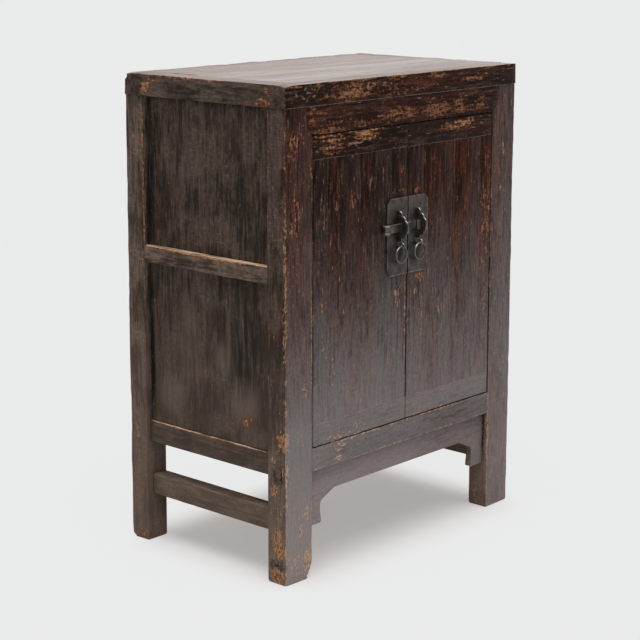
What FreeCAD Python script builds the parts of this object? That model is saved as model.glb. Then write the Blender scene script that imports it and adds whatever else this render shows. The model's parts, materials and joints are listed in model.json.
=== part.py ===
"""Kang cabinet: a low two-door cabinet of frame-and-panel joinery, with iron face plates.

The left half and the middle pieces are drawn, and the right half is their mirror image.
The frame has its origin on the floor under the middle of the whole cabinet, ironwork included:
+X runs to the right of someone who faces the doors, +Y to the rear and +Z up.
"""

import FreeCAD, Part
import os
import re

import Sketcher

doc = FreeCAD.newDocument("kang_cabinet")

# Driving sizes, in millimetres
SIZES = {
    # Carcass
    "cabinet_height": 860,
    "case_width": 637,
    "case_depth": 388,
    "top_overhang": 1.5,
    # Posts
    "front_post_width": 67,
    "front_post_depth": 41,
    "rear_post_width": 46,
    "rear_post_depth": 43,
    "post_tenon_height": 20,
    "post_tenon_inset": 11,
    # Top frame and its boards
    "top_frame_height": 38.5,
    "top_front_rail_depth": 35,
    "top_rear_rail_depth": 26,
    "top_side_rail_width": 40,
    "top_rail_tenon_length": 18,
    "top_rail_tenon_height": 12,
    "top_board_thickness": 16,
    "top_tongue_length": 7,
    "top_tongue_thickness": 5,
    "top_brace_width": 44,
    "top_brace_tenon_length": 10,
    # Lintel above the doors
    "lintel_height": 48.5,
    "lintel_depth": 32,
    "lintel_ear_width": 14,
    "lintel_ear_depth": 9,
    "lintel_tenon_length": 32,
    # Sill below the doors
    "sill_top": 231.5,
    "sill_height": 40.5,
    "sill_depth": 34,
    # Apron under the sill
    "apron_setback": 12,
    "apron_thickness": 12,
    "apron_drop": 47,
    "apron_tongue": 6,
    "bracket_width": 34,
    "bracket_drop": 103,
    "bracket_run": 71,
    "bracket_slope": 17,
    "bracket_curve": 10,
    "bracket_waist": 20,
    "bracket_flare": 3,
    "bracket_toe": 4,
    # Side and rear rails
    "middle_rail_top": 554,
    "middle_rail_height": 30,
    "middle_rail_depth": 34,
    "middle_rail_tenon_length": 24,
    "bottom_rail_top": 228,
    "bottom_rail_height": 39,
    "bottom_rail_depth": 30,
    "bottom_rail_setback": 8.5,
    "bottom_rail_tenon_length": 14,
    "stretcher_underside": 88,
    "stretcher_height": 38,
    "stretcher_depth": 30,
    "stretcher_setback": 13,
    "stretcher_tenon_length": 14,
    # Floating panels, and the tenons that lie in their line
    "panel_setback": 13,
    "panel_thickness": 10,
    "panel_tongue": 6,
    # Floor and shelf
    "floor_thickness": 12,
    "shelf_thickness": 12,
    "shelf_bearing": 10,
    # Doors
    "door_thickness": 24,
    "door_side_gap": 2,
    "door_centre_gap": 2,
    "door_top_gap": 2,
    "door_bottom_gap": 1.5,
    "door_back_gap": 1,
    "door_corner_radius": 4,
    "door_cap_height": 40.5,
    "hinge_stile_width": 36,
    "meeting_stile_width": 44,
    "meeting_stile_tenon_length": 22,
    "door_board_thickness": 17,
    "door_tongue_length": 6,
    "door_tongue_thickness": 6,
    "pivot_inset": 18,
    "pivot_setback": 10.5,
    "pivot_radius": 7,
    "pivot_clearance": 0.08,
    "pivot_top_length": 16,
    "pivot_bottom_length": 11,
    "pivot_end_gap": 0.4,
    "swing_gap": 0.5,
    # Ironwork
    "plate_width": 54.5,
    "plate_height": 139,
    "plate_thickness": 2,
    "plate_rise": 70.5,
    "plate_inset": 1,
    "plate_corner": 9,
    "lug_rise": 17,
    "lug_offset": 26,
    "lug_thickness": 3,
    "lug_reach": 24,
    "lug_half_height": 29.5,
    "lug_tail_height": 20,
    "clinch_length": 11,
    "clinch_thickness": 2,
    "cotter_drop": 16,
    "cotter_standoff": 9.3,
    "cotter_eye_radius": 5,
    "cotter_wire_radius": 1.5,
    "cotter_shank_radius": 2.2,
    "cotter_leg_length": 9,
    "cotter_leg_width": 4,
    "cotter_leg_thickness": 1.5,
    "ring_radius": 14.8,
    "ring_wire_radius": 1.9,
    "ring_clearance": 0.3,
    "bar_height": 14.5,
    "bar_thickness": 5,
    "bar_standoff": 2.5,
    "bar_clearance": 0.8,
    "bar_tip_gap": 0.8,
    "bar_travel": 29.3,
    "bar_head_gap": 6,
    "bar_head_height": 16,
    "bar_head_radius": 6.7,
    "bar_head_standoff": 1.5,
    # One overrun for every cutter that has to pass through a face
    "overrun": 1,
}

# Places that follow from the sizes
PLACES = {
    "outer_left": "-case_width / 2",
    "front_face": "-(case_depth - lug_reach) / 2",
    "rear_face": "front_face + case_depth",
    "front_post_inner": "outer_left + front_post_width",
    "front_post_back": "front_face + front_post_depth",
    "rear_post_inner": "outer_left + rear_post_width",
    "rear_post_front": "rear_face - rear_post_depth",
    "frame_underside": "cabinet_height - top_frame_height",
    "frame_left": "outer_left - top_overhang",
    "frame_front": "front_face - top_overhang",
    "frame_inner_left": "frame_left + top_side_rail_width",
    "frame_inner_front": "frame_front + top_front_rail_depth",
    "frame_inner_rear": "rear_face - top_rear_rail_depth",
    "top_tongue_underside": "cabinet_height - (top_board_thickness + top_tongue_thickness) / 2",
    "top_tenon_underside": "frame_underside + (top_frame_height - top_rail_tenon_height) / 2",
    "top_board_underside": "cabinet_height - top_board_thickness",
    "lintel_underside": "frame_underside - lintel_height",
    "sill_underside": "sill_top - sill_height",
    "apron_front": "front_face + apron_setback",
    "apron_edge": "sill_underside - apron_drop",
    "bracket_underside": "sill_underside - bracket_drop",
    "bracket_inner": "front_post_inner + bracket_width",
    "bracket_start": "front_post_inner + bracket_run",
    "middle_rail_underside": "middle_rail_top - middle_rail_height",
    "bottom_rail_underside": "bottom_rail_top - bottom_rail_height",
    "bottom_rail_outer": "outer_left + bottom_rail_setback",
    "stretcher_top": "stretcher_underside + stretcher_height",
    "stretcher_outer": "outer_left + stretcher_setback",
    "side_panel_outer": "outer_left + panel_setback",
    "side_panel_inner": "side_panel_outer + panel_thickness",
    "rear_panel_back": "rear_face - panel_setback",
    "rear_panel_front": "rear_panel_back - panel_thickness",
    "front_tenon_front": "front_face + panel_setback",
    "front_tenon_back": "front_tenon_front + panel_thickness",
    "floor_top": "bottom_rail_top + floor_thickness",
    "floor_front": "front_face + door_thickness + door_back_gap",
    "shelf_underside": "middle_rail_top - shelf_thickness",
    "shelf_left": "outer_left + middle_rail_depth - shelf_bearing",
    "shelf_rear": "rear_face - middle_rail_depth + shelf_bearing",
    "door_outer": "front_post_inner + door_side_gap",
    "door_inner": "-door_centre_gap / 2",
    "door_back": "front_face + door_thickness",
    "door_low": "sill_top + door_bottom_gap",
    "door_high": "lintel_underside - door_top_gap",
    "cap_top_underside": "door_high - door_cap_height",
    "cap_bottom_top": "door_low + door_cap_height",
    "hinge_stile_inner": "door_outer + hinge_stile_width",
    "meeting_stile_outer": "door_inner - meeting_stile_width",
    "board_joint": "(hinge_stile_inner + meeting_stile_outer) / 2",
    "door_tongue_front": "front_face + (door_board_thickness - door_tongue_thickness) / 2",
    "door_tongue_back": "door_tongue_front + door_tongue_thickness",
    "pivot_axis_across": "door_outer + pivot_inset",
    "pivot_axis_deep": "front_face + pivot_setback",
    "pivot_low": "door_low - pivot_bottom_length",
    "pivot_high": "door_high + pivot_top_length",
    "swing_radius": "sqrt(pivot_inset ^ 2 + (door_thickness - pivot_setback) ^ 2) + swing_gap",
    "plate_front": "front_face - plate_thickness",
    "plate_inner": "door_inner - plate_inset",
    "plate_outer": "plate_inner - plate_width",
    "plate_middle": "(door_low + door_high) / 2 + plate_rise",
    "plate_underside": "plate_middle - plate_height / 2",
    "plate_top": "plate_middle + plate_height / 2",
    "lug_height": "plate_middle + lug_rise",
    "cotter_height": "plate_middle - cotter_drop",
    "lug_outer": "-lug_offset - lug_thickness / 2",
    "lug_inner": "-lug_offset + lug_thickness / 2",
    "lug_span": "lug_reach - plate_thickness",
    "lug_tail_low": "lug_height - lug_tail_height / 2",
    "lug_tail_high": "lug_height + lug_tail_height / 2",
    "eye_deep": "front_face - cotter_standoff",
    "eye_bottom": "cotter_height - cotter_eye_radius + cotter_wire_radius",
    "ring_axis_height": "eye_bottom + ring_wire_radius + ring_clearance",
    "bar_low": "lug_height - bar_height / 2",
    "bar_high": "lug_height + bar_height / 2",
    "bar_back": "plate_front - bar_standoff",
    "bar_front": "bar_back - bar_thickness",
    "bar_tip": "-plate_inner - bar_tip_gap",
    "bar_head_across": "lug_outer - bar_head_gap - bar_travel - bar_head_radius",
    "bar_head_deep": "plate_front - bar_head_standoff - bar_head_radius",
}

# Where the three boards of the top and of the floor meet, as shares of the depth that they cover
TOP_BOARD_SHARES = (0.0, 0.31, 0.66, 1.0)
FLOOR_BOARD_SHARES = (0.0, 0.36, 0.7, 1.0)

# Profile of a lug: shares of its reach in front of the plate, and of its half height
LUG_PROFILE_SHARES = (
    (0.0, 1.0),
    (0.2, 1.0),
    (0.36, 0.87),
    (0.34, 0.7),
    (0.54, 0.69),
    (0.7, 0.58),
    (0.73, 0.45),
    (0.92, 0.34),
    (1.0, 0.17),
    (1.0, -0.17),
    (0.92, -0.34),
    (0.73, -0.45),
    (0.7, -0.58),
    (0.54, -0.66),
    (0.34, -0.64),
    (0.36, -0.78),
    (0.2, -0.88),
    (0.0, -0.88),
)

homes = {name: "sizes." for name in SIZES}
homes.update({name: "places." for name in PLACES})
parts = []


def spelled(text, own=""):
    """Puts its sheet's name before each alias of a formula, unless the sheet is the formula's own."""

    def spell(word):
        home = homes.get(word.group(), "")
        return word.group() if home == own else home + word.group()

    return re.sub(r"[a-z_]+", spell, text)


def fill_sheets():
    """Writes the driving sizes as plain numbers, and the places as formulas of them."""
    sizes = doc.addObject("Spreadsheet::Sheet", "sizes")
    for row, (name, size) in enumerate(SIZES.items(), start=1):
        sizes.set(f"A{row}", name)
        sizes.set(f"B{row}", str(size))
        sizes.setAlias(f"B{row}", name)
    places = doc.addObject("Spreadsheet::Sheet", "places")
    for row, (name, text) in enumerate(PLACES.items(), start=1):
        places.set(f"A{row}", name)
        places.setAlias(f"B{row}", name)
    for row, (name, text) in enumerate(PLACES.items(), start=1):
        places.set(f"B{row}", "=" + spelled(text, own="places."))
    doc.recompute()
    return sizes


def worked_out(text):
    """The value of a formula now."""
    return float(sheet.evalExpression(spelled(text)))


def bind(thing, formulas):
    """Ties properties of an object to formulas of the named sizes."""
    for name, text in formulas.items():
        thing.setExpression(name, spelled(text))
    return thing


def block(name, across, deep, high):
    """A squared block; each argument is a pair of formulas, from its low to its high face."""
    piece = doc.addObject("Part::Box", name)
    bind(piece, {
        "Length": f"({across[1]}) - ({across[0]})",
        "Width": f"({deep[1]}) - ({deep[0]})",
        "Height": f"({high[1]}) - ({high[0]})",
        "Placement.Base.x": across[0],
        "Placement.Base.y": deep[0],
        "Placement.Base.z": high[0],
    })
    return piece


def rod(name, radius, across, deep, high):
    """An upright round rod on the axis (across, deep), between the two heights."""
    piece = doc.addObject("Part::Cylinder", name)
    return bind(piece, {
        "Radius": radius,
        "Height": f"({high[1]}) - ({high[0]})",
        "Placement.Base.x": across,
        "Placement.Base.y": deep,
        "Placement.Base.z": high[0],
    })


def turned_ring(name, radius, wire_radius, axis, centre):
    """A ring of round wire about a centre, turned a quarter about a level axis to stand upright."""
    piece = doc.addObject("Part::Torus", name)
    piece.Placement.Rotation = FreeCAD.Rotation(FreeCAD.Vector(*axis), 90)
    return bind(piece, {
        "Radius1": radius,
        "Radius2": wire_radius,
        "Placement.Base.x": centre[0],
        "Placement.Base.y": centre[1],
        "Placement.Base.z": centre[2],
    })


def slab(name, plane, corners, start, thickness):
    """A flat piece cut to an outline of formula points in the XZ or YZ plane.

    An XZ slab grows to the front from start, and a YZ slab to the right.
    """
    body = doc.addObject("PartDesign::Body", name)
    sketch = body.newObject("Sketcher::SketchObject", name + "_outline")
    origin_plane = next(item for item in body.Origin.OriginFeatures if item.Role == plane)
    sketch.AttachmentSupport = [(origin_plane, "")]
    sketch.MapMode = "FlatFace"
    points = [FreeCAD.Vector(worked_out(along), worked_out(up), 0) for along, up in corners]
    count = len(points)
    for index in range(count):
        sketch.addGeometry(Part.LineSegment(points[index], points[(index + 1) % count]), False)
    for index in range(count):
        sketch.addConstraint(Sketcher.Constraint("Coincident", index, 2, (index + 1) % count, 1))
    for index, (along, up) in enumerate(corners):
        for kind, text, now in (("DistanceX", along, points[index].x), ("DistanceY", up, points[index].y)):
            number = sketch.addConstraint(Sketcher.Constraint(kind, -1, 1, index, 1, now))
            bind(sketch, {f"Constraints[{number}]": text})
    toward = "-" if plane == "XZ_Plane" else ""
    bind(sketch, {"AttachmentOffset.Base.z": f"{toward}({start})"})
    pad = body.newObject("PartDesign::Pad", name + "_pad")
    pad.Profile = sketch
    bind(pad, {"Length": thickness})
    return body


def rounded(body, radius, chosen):
    """Rounds those edges of a body's solid that the test chooses."""
    doc.recompute()
    tip = body.Tip
    names = [f"Edge{index}" for index, edge in enumerate(tip.Shape.Edges, start=1) if chosen(edge)]
    fillet = body.newObject("PartDesign::Fillet", f"{body.Name}_rounding_{len(body.Group)}")
    fillet.Base = (tip, names)
    bind(fillet, {"Radius": radius})
    return body


def joined(name, *pieces):
    """One solid made of the pieces given."""
    fused = doc.addObject("Part::MultiFuse", name)
    fused.Shapes = list(pieces)
    fused.Refine = True
    return fused


def cut(name, piece, *tools):
    """The piece with the tools' space taken out of it."""
    tool = tools[0] if len(tools) == 1 else joined(name + "_waste", *tools)
    result = doc.addObject("Part::Cut", name)
    result.Base = piece
    result.Tool = tool
    result.Refine = True
    return result


def keep(node, piece):
    """Names a finished piece and lists it as a sub-part."""
    piece.Label = node
    parts.append(piece)
    return piece


def mirrored(name, piece):
    """The mirror image of a left piece, on the right of the cabinet."""
    twin = doc.addObject("Part::Mirroring", name)
    twin.Source = piece
    twin.Normal = FreeCAD.Vector(1, 0, 0)
    return twin


def both_sides(node, piece):
    """Keeps a left piece, and its mirror image for the right."""
    left = keep(node.format(side="left"), piece)
    name = node.format(side="right")
    return left, keep(name, mirrored(name, left))


sheet = fill_sheets()
whole_width = ("outer_left", "-outer_left")

# Blocks that the posts are cut from, with the tenons that enter the top frame
post_blocks = {}
post_tenons = {}
for post, inner, deep in (
    ("front", "front_post_inner", ("front_face", "front_post_back")),
    ("rear", "rear_post_inner", ("rear_post_front", "rear_face")),
):
    across = ("outer_left", inner)
    post_blocks[post] = block(f"post_{post}_block", across, deep, ("0", "frame_underside"))
    post_tenons[post] = block(
        f"post_{post}_tenon",
        ("outer_left + post_tenon_inset", f"{inner} - post_tenon_inset"),
        (f"{deep[0]} + post_tenon_inset", f"{deep[1]} - post_tenon_inset"),
        ("frame_underside", "frame_underside + post_tenon_height"),
    )
post_block_twins = {post: mirrored(f"post_{post}_block_twin", piece) for post, piece in post_blocks.items()}
post_tenon_twins = {post: mirrored(f"post_{post}_tenon_twin", piece) for post, piece in post_tenons.items()}

# Bores that the pivots turn in, and the room that a door's hinge edge swings through
pivot_bore = rod(
    "pivot_bore",
    "pivot_radius + pivot_clearance",
    "pivot_axis_across",
    "pivot_axis_deep",
    ("pivot_low - pivot_end_gap", "pivot_high + pivot_end_gap"),
)
pivot_bores = (pivot_bore, mirrored("pivot_bore_twin", pivot_bore))
swing_room = rod(
    "swing_room",
    "swing_radius",
    "pivot_axis_across",
    "pivot_axis_deep",
    ("bottom_rail_top - overrun", "floor_top + overrun"),
)
swing_rooms = (swing_room, mirrored("swing_room_twin", swing_room))

# Side rails, stretcher and panels
side_run = ("front_post_back", "rear_post_front")
middle_rail = joined(
    "side_middle_rail_blank",
    block(
        "side_middle_rail_body",
        ("outer_left", "outer_left + middle_rail_depth"),
        side_run,
        ("middle_rail_underside", "middle_rail_top"),
    ),
    block(
        "side_middle_rail_tenon",
        ("side_panel_outer", "side_panel_inner"),
        ("front_post_back - middle_rail_tenon_length", "rear_post_front + middle_rail_tenon_length"),
        ("middle_rail_underside", "middle_rail_top"),
    ),
)
bottom_rail = joined(
    "side_bottom_rail_blank",
    block(
        "side_bottom_rail_body",
        ("bottom_rail_outer", "bottom_rail_outer + bottom_rail_depth"),
        side_run,
        ("bottom_rail_underside", "bottom_rail_top"),
    ),
    block(
        "side_bottom_rail_tenon",
        ("side_panel_outer", "side_panel_inner"),
        ("front_post_back - bottom_rail_tenon_length", "rear_post_front + bottom_rail_tenon_length"),
        ("bottom_rail_underside", "bottom_rail_top"),
    ),
)
stretcher = joined(
    "side_stretcher_blank",
    block(
        "side_stretcher_body",
        ("stretcher_outer", "stretcher_outer + stretcher_depth"),
        side_run,
        ("stretcher_underside", "stretcher_top"),
    ),
    block(
        "side_stretcher_tenon",
        (
            "stretcher_outer + (stretcher_depth - panel_thickness) / 2",
            "stretcher_outer + (stretcher_depth + panel_thickness) / 2",
        ),
        ("front_post_back - stretcher_tenon_length", "rear_post_front + stretcher_tenon_length"),
        ("stretcher_underside", "stretcher_top"),
    ),
)
side_panels = {}
for level, low, high in (
    ("upper", "middle_rail_top", "frame_underside"),
    ("lower", "bottom_rail_top", "middle_rail_underside"),
):
    side_panels[level] = block(
        f"side_panel_{level}",
        ("side_panel_outer", "side_panel_inner"),
        ("front_post_back - panel_tongue", "rear_post_front + panel_tongue"),
        (f"{low} - panel_tongue", f"{high} + panel_tongue"),
    )
    both_sides(f"side_panel_{level}_{{side}}", side_panels[level])

# Rear rails and panels
rear_run = ("rear_post_inner", "-rear_post_inner")
rear_line = ("rear_panel_front", "rear_panel_back")
rear_middle_rail = joined(
    "rear_middle_rail_blank",
    block(
        "rear_middle_rail_body",
        rear_run,
        ("rear_face - middle_rail_depth", "rear_face"),
        ("middle_rail_underside", "middle_rail_top"),
    ),
    block(
        "rear_middle_rail_tenon",
        ("side_panel_inner + overrun", "-side_panel_inner - overrun"),
        rear_line,
        ("middle_rail_underside", "middle_rail_top"),
    ),
)
rear_bottom_rail = joined(
    "rear_bottom_rail_blank",
    block(
        "rear_bottom_rail_body",
        rear_run,
        ("rear_face - sill_depth", "rear_face"),
        ("sill_underside", "sill_top"),
    ),
    block("rear_bottom_rail_tenon", whole_width, rear_line, ("sill_underside", "sill_top")),
)
rear_panels = {}
for level, low, high in (
    ("upper", "middle_rail_top", "frame_underside"),
    ("lower", "sill_top", "middle_rail_underside"),
):
    rear_panels[level] = keep(f"rear_panel_{level}", block(
        f"rear_panel_{level}",
        ("rear_post_inner - panel_tongue", "-rear_post_inner + panel_tongue"),
        rear_line,
        (f"{low} - panel_tongue", f"{high} + panel_tongue"),
    ))

# Floor boards, which lie on the bottom rails and are notched round the posts
floor_boards = []
floor_span = "(rear_panel_front - floor_front)"
for index, name in enumerate(("front", "middle", "rear")):
    low_share, high_share = FLOOR_BOARD_SHARES[index:index + 2]
    board = block(
        f"floor_board_{name}_blank",
        ("side_panel_inner", "-side_panel_inner"),
        (f"floor_front + {low_share} * {floor_span}", f"floor_front + {high_share} * {floor_span}"),
        ("bottom_rail_top", "floor_top"),
    )
    if name != "middle":
        room = swing_rooms if name == "front" else ()
        board = cut(f"floor_board_{name}", board, post_blocks[name], post_block_twins[name], *room)
    floor_boards.append(keep(f"floor_board_{name}", board))

# Shelf boards, in rebates of the middle rails
shelf_boards = []
shelf_middle = "(front_post_back + shelf_rear) / 2"
for name, deep in (("front", ("front_post_back", shelf_middle)), ("rear", (shelf_middle, "shelf_rear"))):
    board = block(
        f"shelf_board_{name}_blank",
        ("shelf_left", "-shelf_left"),
        deep,
        ("shelf_underside", "middle_rail_top"),
    )
    if name == "rear":
        board = cut("shelf_board_rear", board, post_blocks["rear"], post_block_twins["rear"])
    shelf_boards.append(keep(f"shelf_board_{name}", board))

# Rails, now that what enters them is known
both_sides("side_middle_rail_{side}", cut(
    "side_middle_rail", middle_rail, side_panels["upper"], side_panels["lower"], *shelf_boards
))
both_sides("side_bottom_rail_{side}", cut("side_bottom_rail", bottom_rail, side_panels["lower"]))
both_sides("side_stretcher_{side}", stretcher)
keep("rear_middle_rail", cut(
    "rear_middle_rail", rear_middle_rail, rear_panels["upper"], rear_panels["lower"], *shelf_boards
))
keep("rear_bottom_rail", cut("rear_bottom_rail", rear_bottom_rail, rear_panels["lower"], floor_boards[2]))

# Apron: a slab with a bracket at each end
apron_end = "front_post_inner - apron_tongue"
apron_half = (
    (apron_end, "sill_underside + apron_tongue"),
    (apron_end, "bracket_underside"),
    ("bracket_inner + bracket_flare", "bracket_underside"),
    ("bracket_inner", "bracket_underside + bracket_waist"),
    ("bracket_inner", "apron_edge - bracket_slope"),
    ("bracket_start", "apron_edge"),
)
apron_outline = apron_half + tuple((f"-({along})", up) for along, up in reversed(apron_half))
apron = slab("front_apron", "XZ_Plane", apron_outline, "apron_front + apron_thickness", "apron_thickness")
toe = (abs(worked_out("bracket_inner + bracket_flare")), worked_out("bracket_underside"))
bend = (abs(worked_out("bracket_inner")), worked_out("apron_edge - bracket_slope"))
near = worked_out("overrun")


def runs_deep_at(edge, corner):
    """Whether an edge runs from front to rear at this corner: a distance from the middle and a height."""
    ends = [vertex.Point for vertex in edge.Vertexes]
    return all(abs(abs(end.x) - corner[0]) < near and abs(end.z - corner[1]) < near for end in ends)


rounded(apron, "bracket_toe", lambda edge: runs_deep_at(edge, toe))
rounded(apron, "bracket_curve", lambda edge: runs_deep_at(edge, bend))
keep("front_apron", apron)

# Sill, with through tenons, pivot bores, a rebate for the floor and a groove for the apron
sill = joined(
    "front_sill_blank",
    block(
        "front_sill_body",
        ("front_post_inner", "-front_post_inner"),
        ("front_face", "front_face + sill_depth"),
        ("sill_underside", "sill_top"),
    ),
    block(
        "front_sill_tenon",
        whole_width,
        ("front_tenon_front", "front_tenon_back"),
        ("sill_underside", "sill_top"),
    ),
)
front_sill = keep("front_sill", cut("front_sill", sill, apron, floor_boards[0], *pivot_bores))

# Lintel, with mitred ears that lap the posts
lintel_half = (
    ("front_post_inner - lintel_ear_width", "frame_underside"),
    ("front_post_inner - lintel_ear_width", "lintel_underside + lintel_ear_width"),
    ("front_post_inner", "lintel_underside"),
)
lintel_outline = lintel_half + tuple((f"-({along})", up) for along, up in reversed(lintel_half))
lintel_ears = slab(
    "front_lintel_ears", "XZ_Plane", lintel_outline, "front_face + lintel_ear_depth", "lintel_ear_depth"
)
lintel = joined(
    "front_lintel_blank",
    lintel_ears,
    block(
        "front_lintel_body",
        ("front_post_inner", "-front_post_inner"),
        ("front_face", "front_face + lintel_depth"),
        ("lintel_underside", "frame_underside"),
    ),
    block(
        "front_lintel_tenon",
        ("front_post_inner - lintel_tenon_length", "-front_post_inner + lintel_tenon_length"),
        ("front_tenon_front", "front_tenon_back"),
        ("lintel_underside", "frame_underside"),
    ),
)
front_lintel = keep("front_lintel", cut("front_lintel", lintel, *pivot_bores))

# Top boards, tongued into the frame and into each other
top_boards = []
top_span = "(frame_inner_rear - frame_inner_front)"
for index, name in enumerate(("front", "middle", "rear")):
    low_share, high_share = TOP_BOARD_SHARES[index:index + 2]
    low = f"frame_inner_front + {low_share} * {top_span}"
    high = f"frame_inner_front + {high_share} * {top_span}"
    far = f"{high} + top_tongue_length" if name == "rear" else high
    blank = joined(
        f"top_board_{name}_blank",
        block(
            f"top_board_{name}_body",
            ("frame_inner_left", "-frame_inner_left"),
            (low, high),
            ("top_board_underside", "cabinet_height"),
        ),
        block(
            f"top_board_{name}_tongue",
            ("frame_inner_left - top_tongue_length", "-frame_inner_left + top_tongue_length"),
            (f"{low} - top_tongue_length", far),
            ("top_tongue_underside", "top_tongue_underside + top_tongue_thickness"),
        ),
    )
    top_boards.append(blank)
top_boards[0] = cut("top_board_front", top_boards[0], top_boards[1])
top_boards[1] = cut("top_board_middle", top_boards[1], top_boards[2])
for name, board in zip(("front", "middle", "rear"), top_boards):
    keep(f"top_board_{name}", board)

# Brace under the top boards
top_brace = keep("top_brace", joined(
    "top_brace",
    block(
        "top_brace_body",
        ("-top_brace_width / 2", "top_brace_width / 2"),
        ("frame_inner_front", "frame_inner_rear"),
        ("frame_underside", "top_board_underside"),
    ),
    block(
        "top_brace_tenon",
        ("-top_brace_width / 4", "top_brace_width / 4"),
        ("frame_inner_front - top_brace_tenon_length", "frame_inner_rear + top_brace_tenon_length"),
        ("frame_underside + panel_tongue", "top_board_underside"),
    ),
))

# Top frame: short rails tenoned between long ones
top_side_rail = cut(
    "top_frame_side",
    joined(
        "top_frame_side_blank",
        block(
            "top_frame_side_body",
            ("frame_left", "frame_inner_left"),
            ("frame_inner_front", "frame_inner_rear"),
            ("frame_underside", "cabinet_height"),
        ),
        block(
            "top_frame_side_tenon",
            ("side_panel_outer", "side_panel_inner"),
            ("frame_inner_front - top_rail_tenon_length", "frame_inner_rear + top_rail_tenon_length"),
            ("top_tenon_underside", "top_tenon_underside + top_rail_tenon_height"),
        ),
    ),
    side_panels["upper"],
    *post_tenons.values(),
    *top_boards,
)
top_side_rails = both_sides("top_frame_{side}", top_side_rail)
frame_width = ("frame_left", "-frame_left")
top_entrants = (*top_side_rails, *post_tenons.values(), *post_tenon_twins.values(), top_brace)
keep("top_frame_front", cut(
    "top_frame_front",
    block("top_frame_front_blank", frame_width, ("frame_front", "frame_inner_front"), (
        "frame_underside", "cabinet_height"
    )),
    *top_entrants,
    top_boards[0],
))
keep("top_frame_rear", cut(
    "top_frame_rear",
    block("top_frame_rear_blank", frame_width, ("frame_inner_rear", "rear_face"), (
        "frame_underside", "cabinet_height"
    )),
    *top_entrants,
    top_boards[2],
    rear_panels["upper"],
))

# Posts, mortised and grooved for all that enters them
side_members = (middle_rail, bottom_rail, stretcher, *side_panels.values())
both_sides("post_front_{side}", cut(
    "post_front",
    joined("post_front_blank", post_blocks["front"], post_tenons["front"]),
    *side_members,
    sill,
    lintel,
    apron,
))
both_sides("post_rear_{side}", cut(
    "post_rear",
    joined("post_rear_blank", post_blocks["rear"], post_tenons["rear"]),
    *side_members,
    rear_middle_rail,
    rear_bottom_rail,
    *rear_panels.values(),
))

# Left door: the waste that rounds its front corner at the hinge, and its pivot rod
corner_waste = cut(
    "door_corner_waste",
    block(
        "door_corner_block",
        ("door_outer - overrun", "door_outer + door_corner_radius"),
        ("front_face - overrun", "front_face + door_corner_radius"),
        ("door_low - overrun", "door_high + overrun"),
    ),
    rod(
        "door_corner_rod",
        "door_corner_radius",
        "door_outer + door_corner_radius",
        "front_face + door_corner_radius",
        ("door_low - overrun", "door_high + overrun"),
    ),
)
pivot_rod = rod("pivot_rod", "pivot_radius", "pivot_axis_across", "pivot_axis_deep", (
    "pivot_low", "pivot_high"
))

# Boards of the door, tongued into the stiles, the caps and each other
door_thick = ("front_face", "door_back")
between_caps = ("cap_bottom_top", "cap_top_underside")
door_boards = {}
for name, across, tongue in (
    (
        "outer",
        ("hinge_stile_inner", "board_joint"),
        ("hinge_stile_inner - door_tongue_length", "board_joint"),
    ),
    (
        "inner",
        ("board_joint", "meeting_stile_outer"),
        ("board_joint - door_tongue_length", "meeting_stile_outer + door_tongue_length"),
    ),
):
    door_boards[name] = joined(
        f"door_board_{name}_blank",
        block(
            f"door_board_{name}_body",
            across,
            ("front_face", "front_face + door_board_thickness"),
            between_caps,
        ),
        block(
            f"door_board_{name}_tongue",
            tongue,
            ("door_tongue_front", "door_tongue_back"),
            ("cap_bottom_top - door_tongue_length", "cap_top_underside + door_tongue_length"),
        ),
    )
door_boards["outer"] = cut("door_board_outer", door_boards["outer"], door_boards["inner"])
for name, board in door_boards.items():
    both_sides(f"door_{{side}}_board_{name}", board)

# Stiles of the door
both_sides("door_{side}_hinge_stile", joined(
    "door_hinge_stile",
    cut(
        "door_hinge_stile_blank",
        block("door_hinge_stile_body", ("door_outer", "hinge_stile_inner"), door_thick, between_caps),
        corner_waste,
        door_boards["outer"],
    ),
    pivot_rod,
))
stile_tenon_shoulder = "(door_thickness - panel_thickness) / 2"
meeting_stile = joined(
    "door_meeting_stile_blank",
    block("door_meeting_stile_body", ("meeting_stile_outer", "door_inner"), door_thick, between_caps),
    block(
        "door_meeting_stile_tenon",
        ("meeting_stile_outer + door_tongue_length + overrun", "door_inner - door_tongue_length"),
        (f"front_face + {stile_tenon_shoulder}", f"door_back - {stile_tenon_shoulder}"),
        ("cap_bottom_top - meeting_stile_tenon_length", "cap_top_underside + meeting_stile_tenon_length"),
    ),
)

# Caps over the ends of the stiles and boards
for name, high in (("top", ("cap_top_underside", "door_high")), ("bottom", ("door_low", "cap_bottom_top"))):
    both_sides(f"door_{{side}}_{name}_cap", cut(
        f"door_{name}_cap",
        block(f"door_{name}_cap_blank", ("door_outer", "door_inner"), door_thick, high),
        corner_waste,
        pivot_rod,
        meeting_stile,
        *door_boards.values(),
    ))

# Lug: a shaped upright plate whose tail passes through the door and is clinched behind it
lug_profile = tuple(
    (f"plate_front - {out} * lug_span", f"lug_height + {up} * lug_half_height")
    for out, up in LUG_PROFILE_SHARES
)
lug_tail = joined(
    "lug_tail",
    block(
        "lug_shank",
        ("lug_outer", "lug_inner"),
        ("plate_front", "door_back + clinch_thickness"),
        ("lug_tail_low", "lug_tail_high"),
    ),
    block(
        "lug_clinch",
        ("lug_outer - clinch_length", "lug_inner"),
        ("door_back", "door_back + clinch_thickness"),
        ("lug_tail_low", "lug_tail_high"),
    ),
)
bar_slot = block(
    "lug_bar_slot",
    ("lug_outer - overrun", "lug_inner + overrun"),
    ("bar_front - bar_clearance", "bar_back + bar_clearance"),
    ("bar_low - bar_clearance", "bar_high + bar_clearance"),
)
lug_plate = slab("lug_plate", "YZ_Plane", lug_profile, "lug_outer", "lug_thickness")
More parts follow.
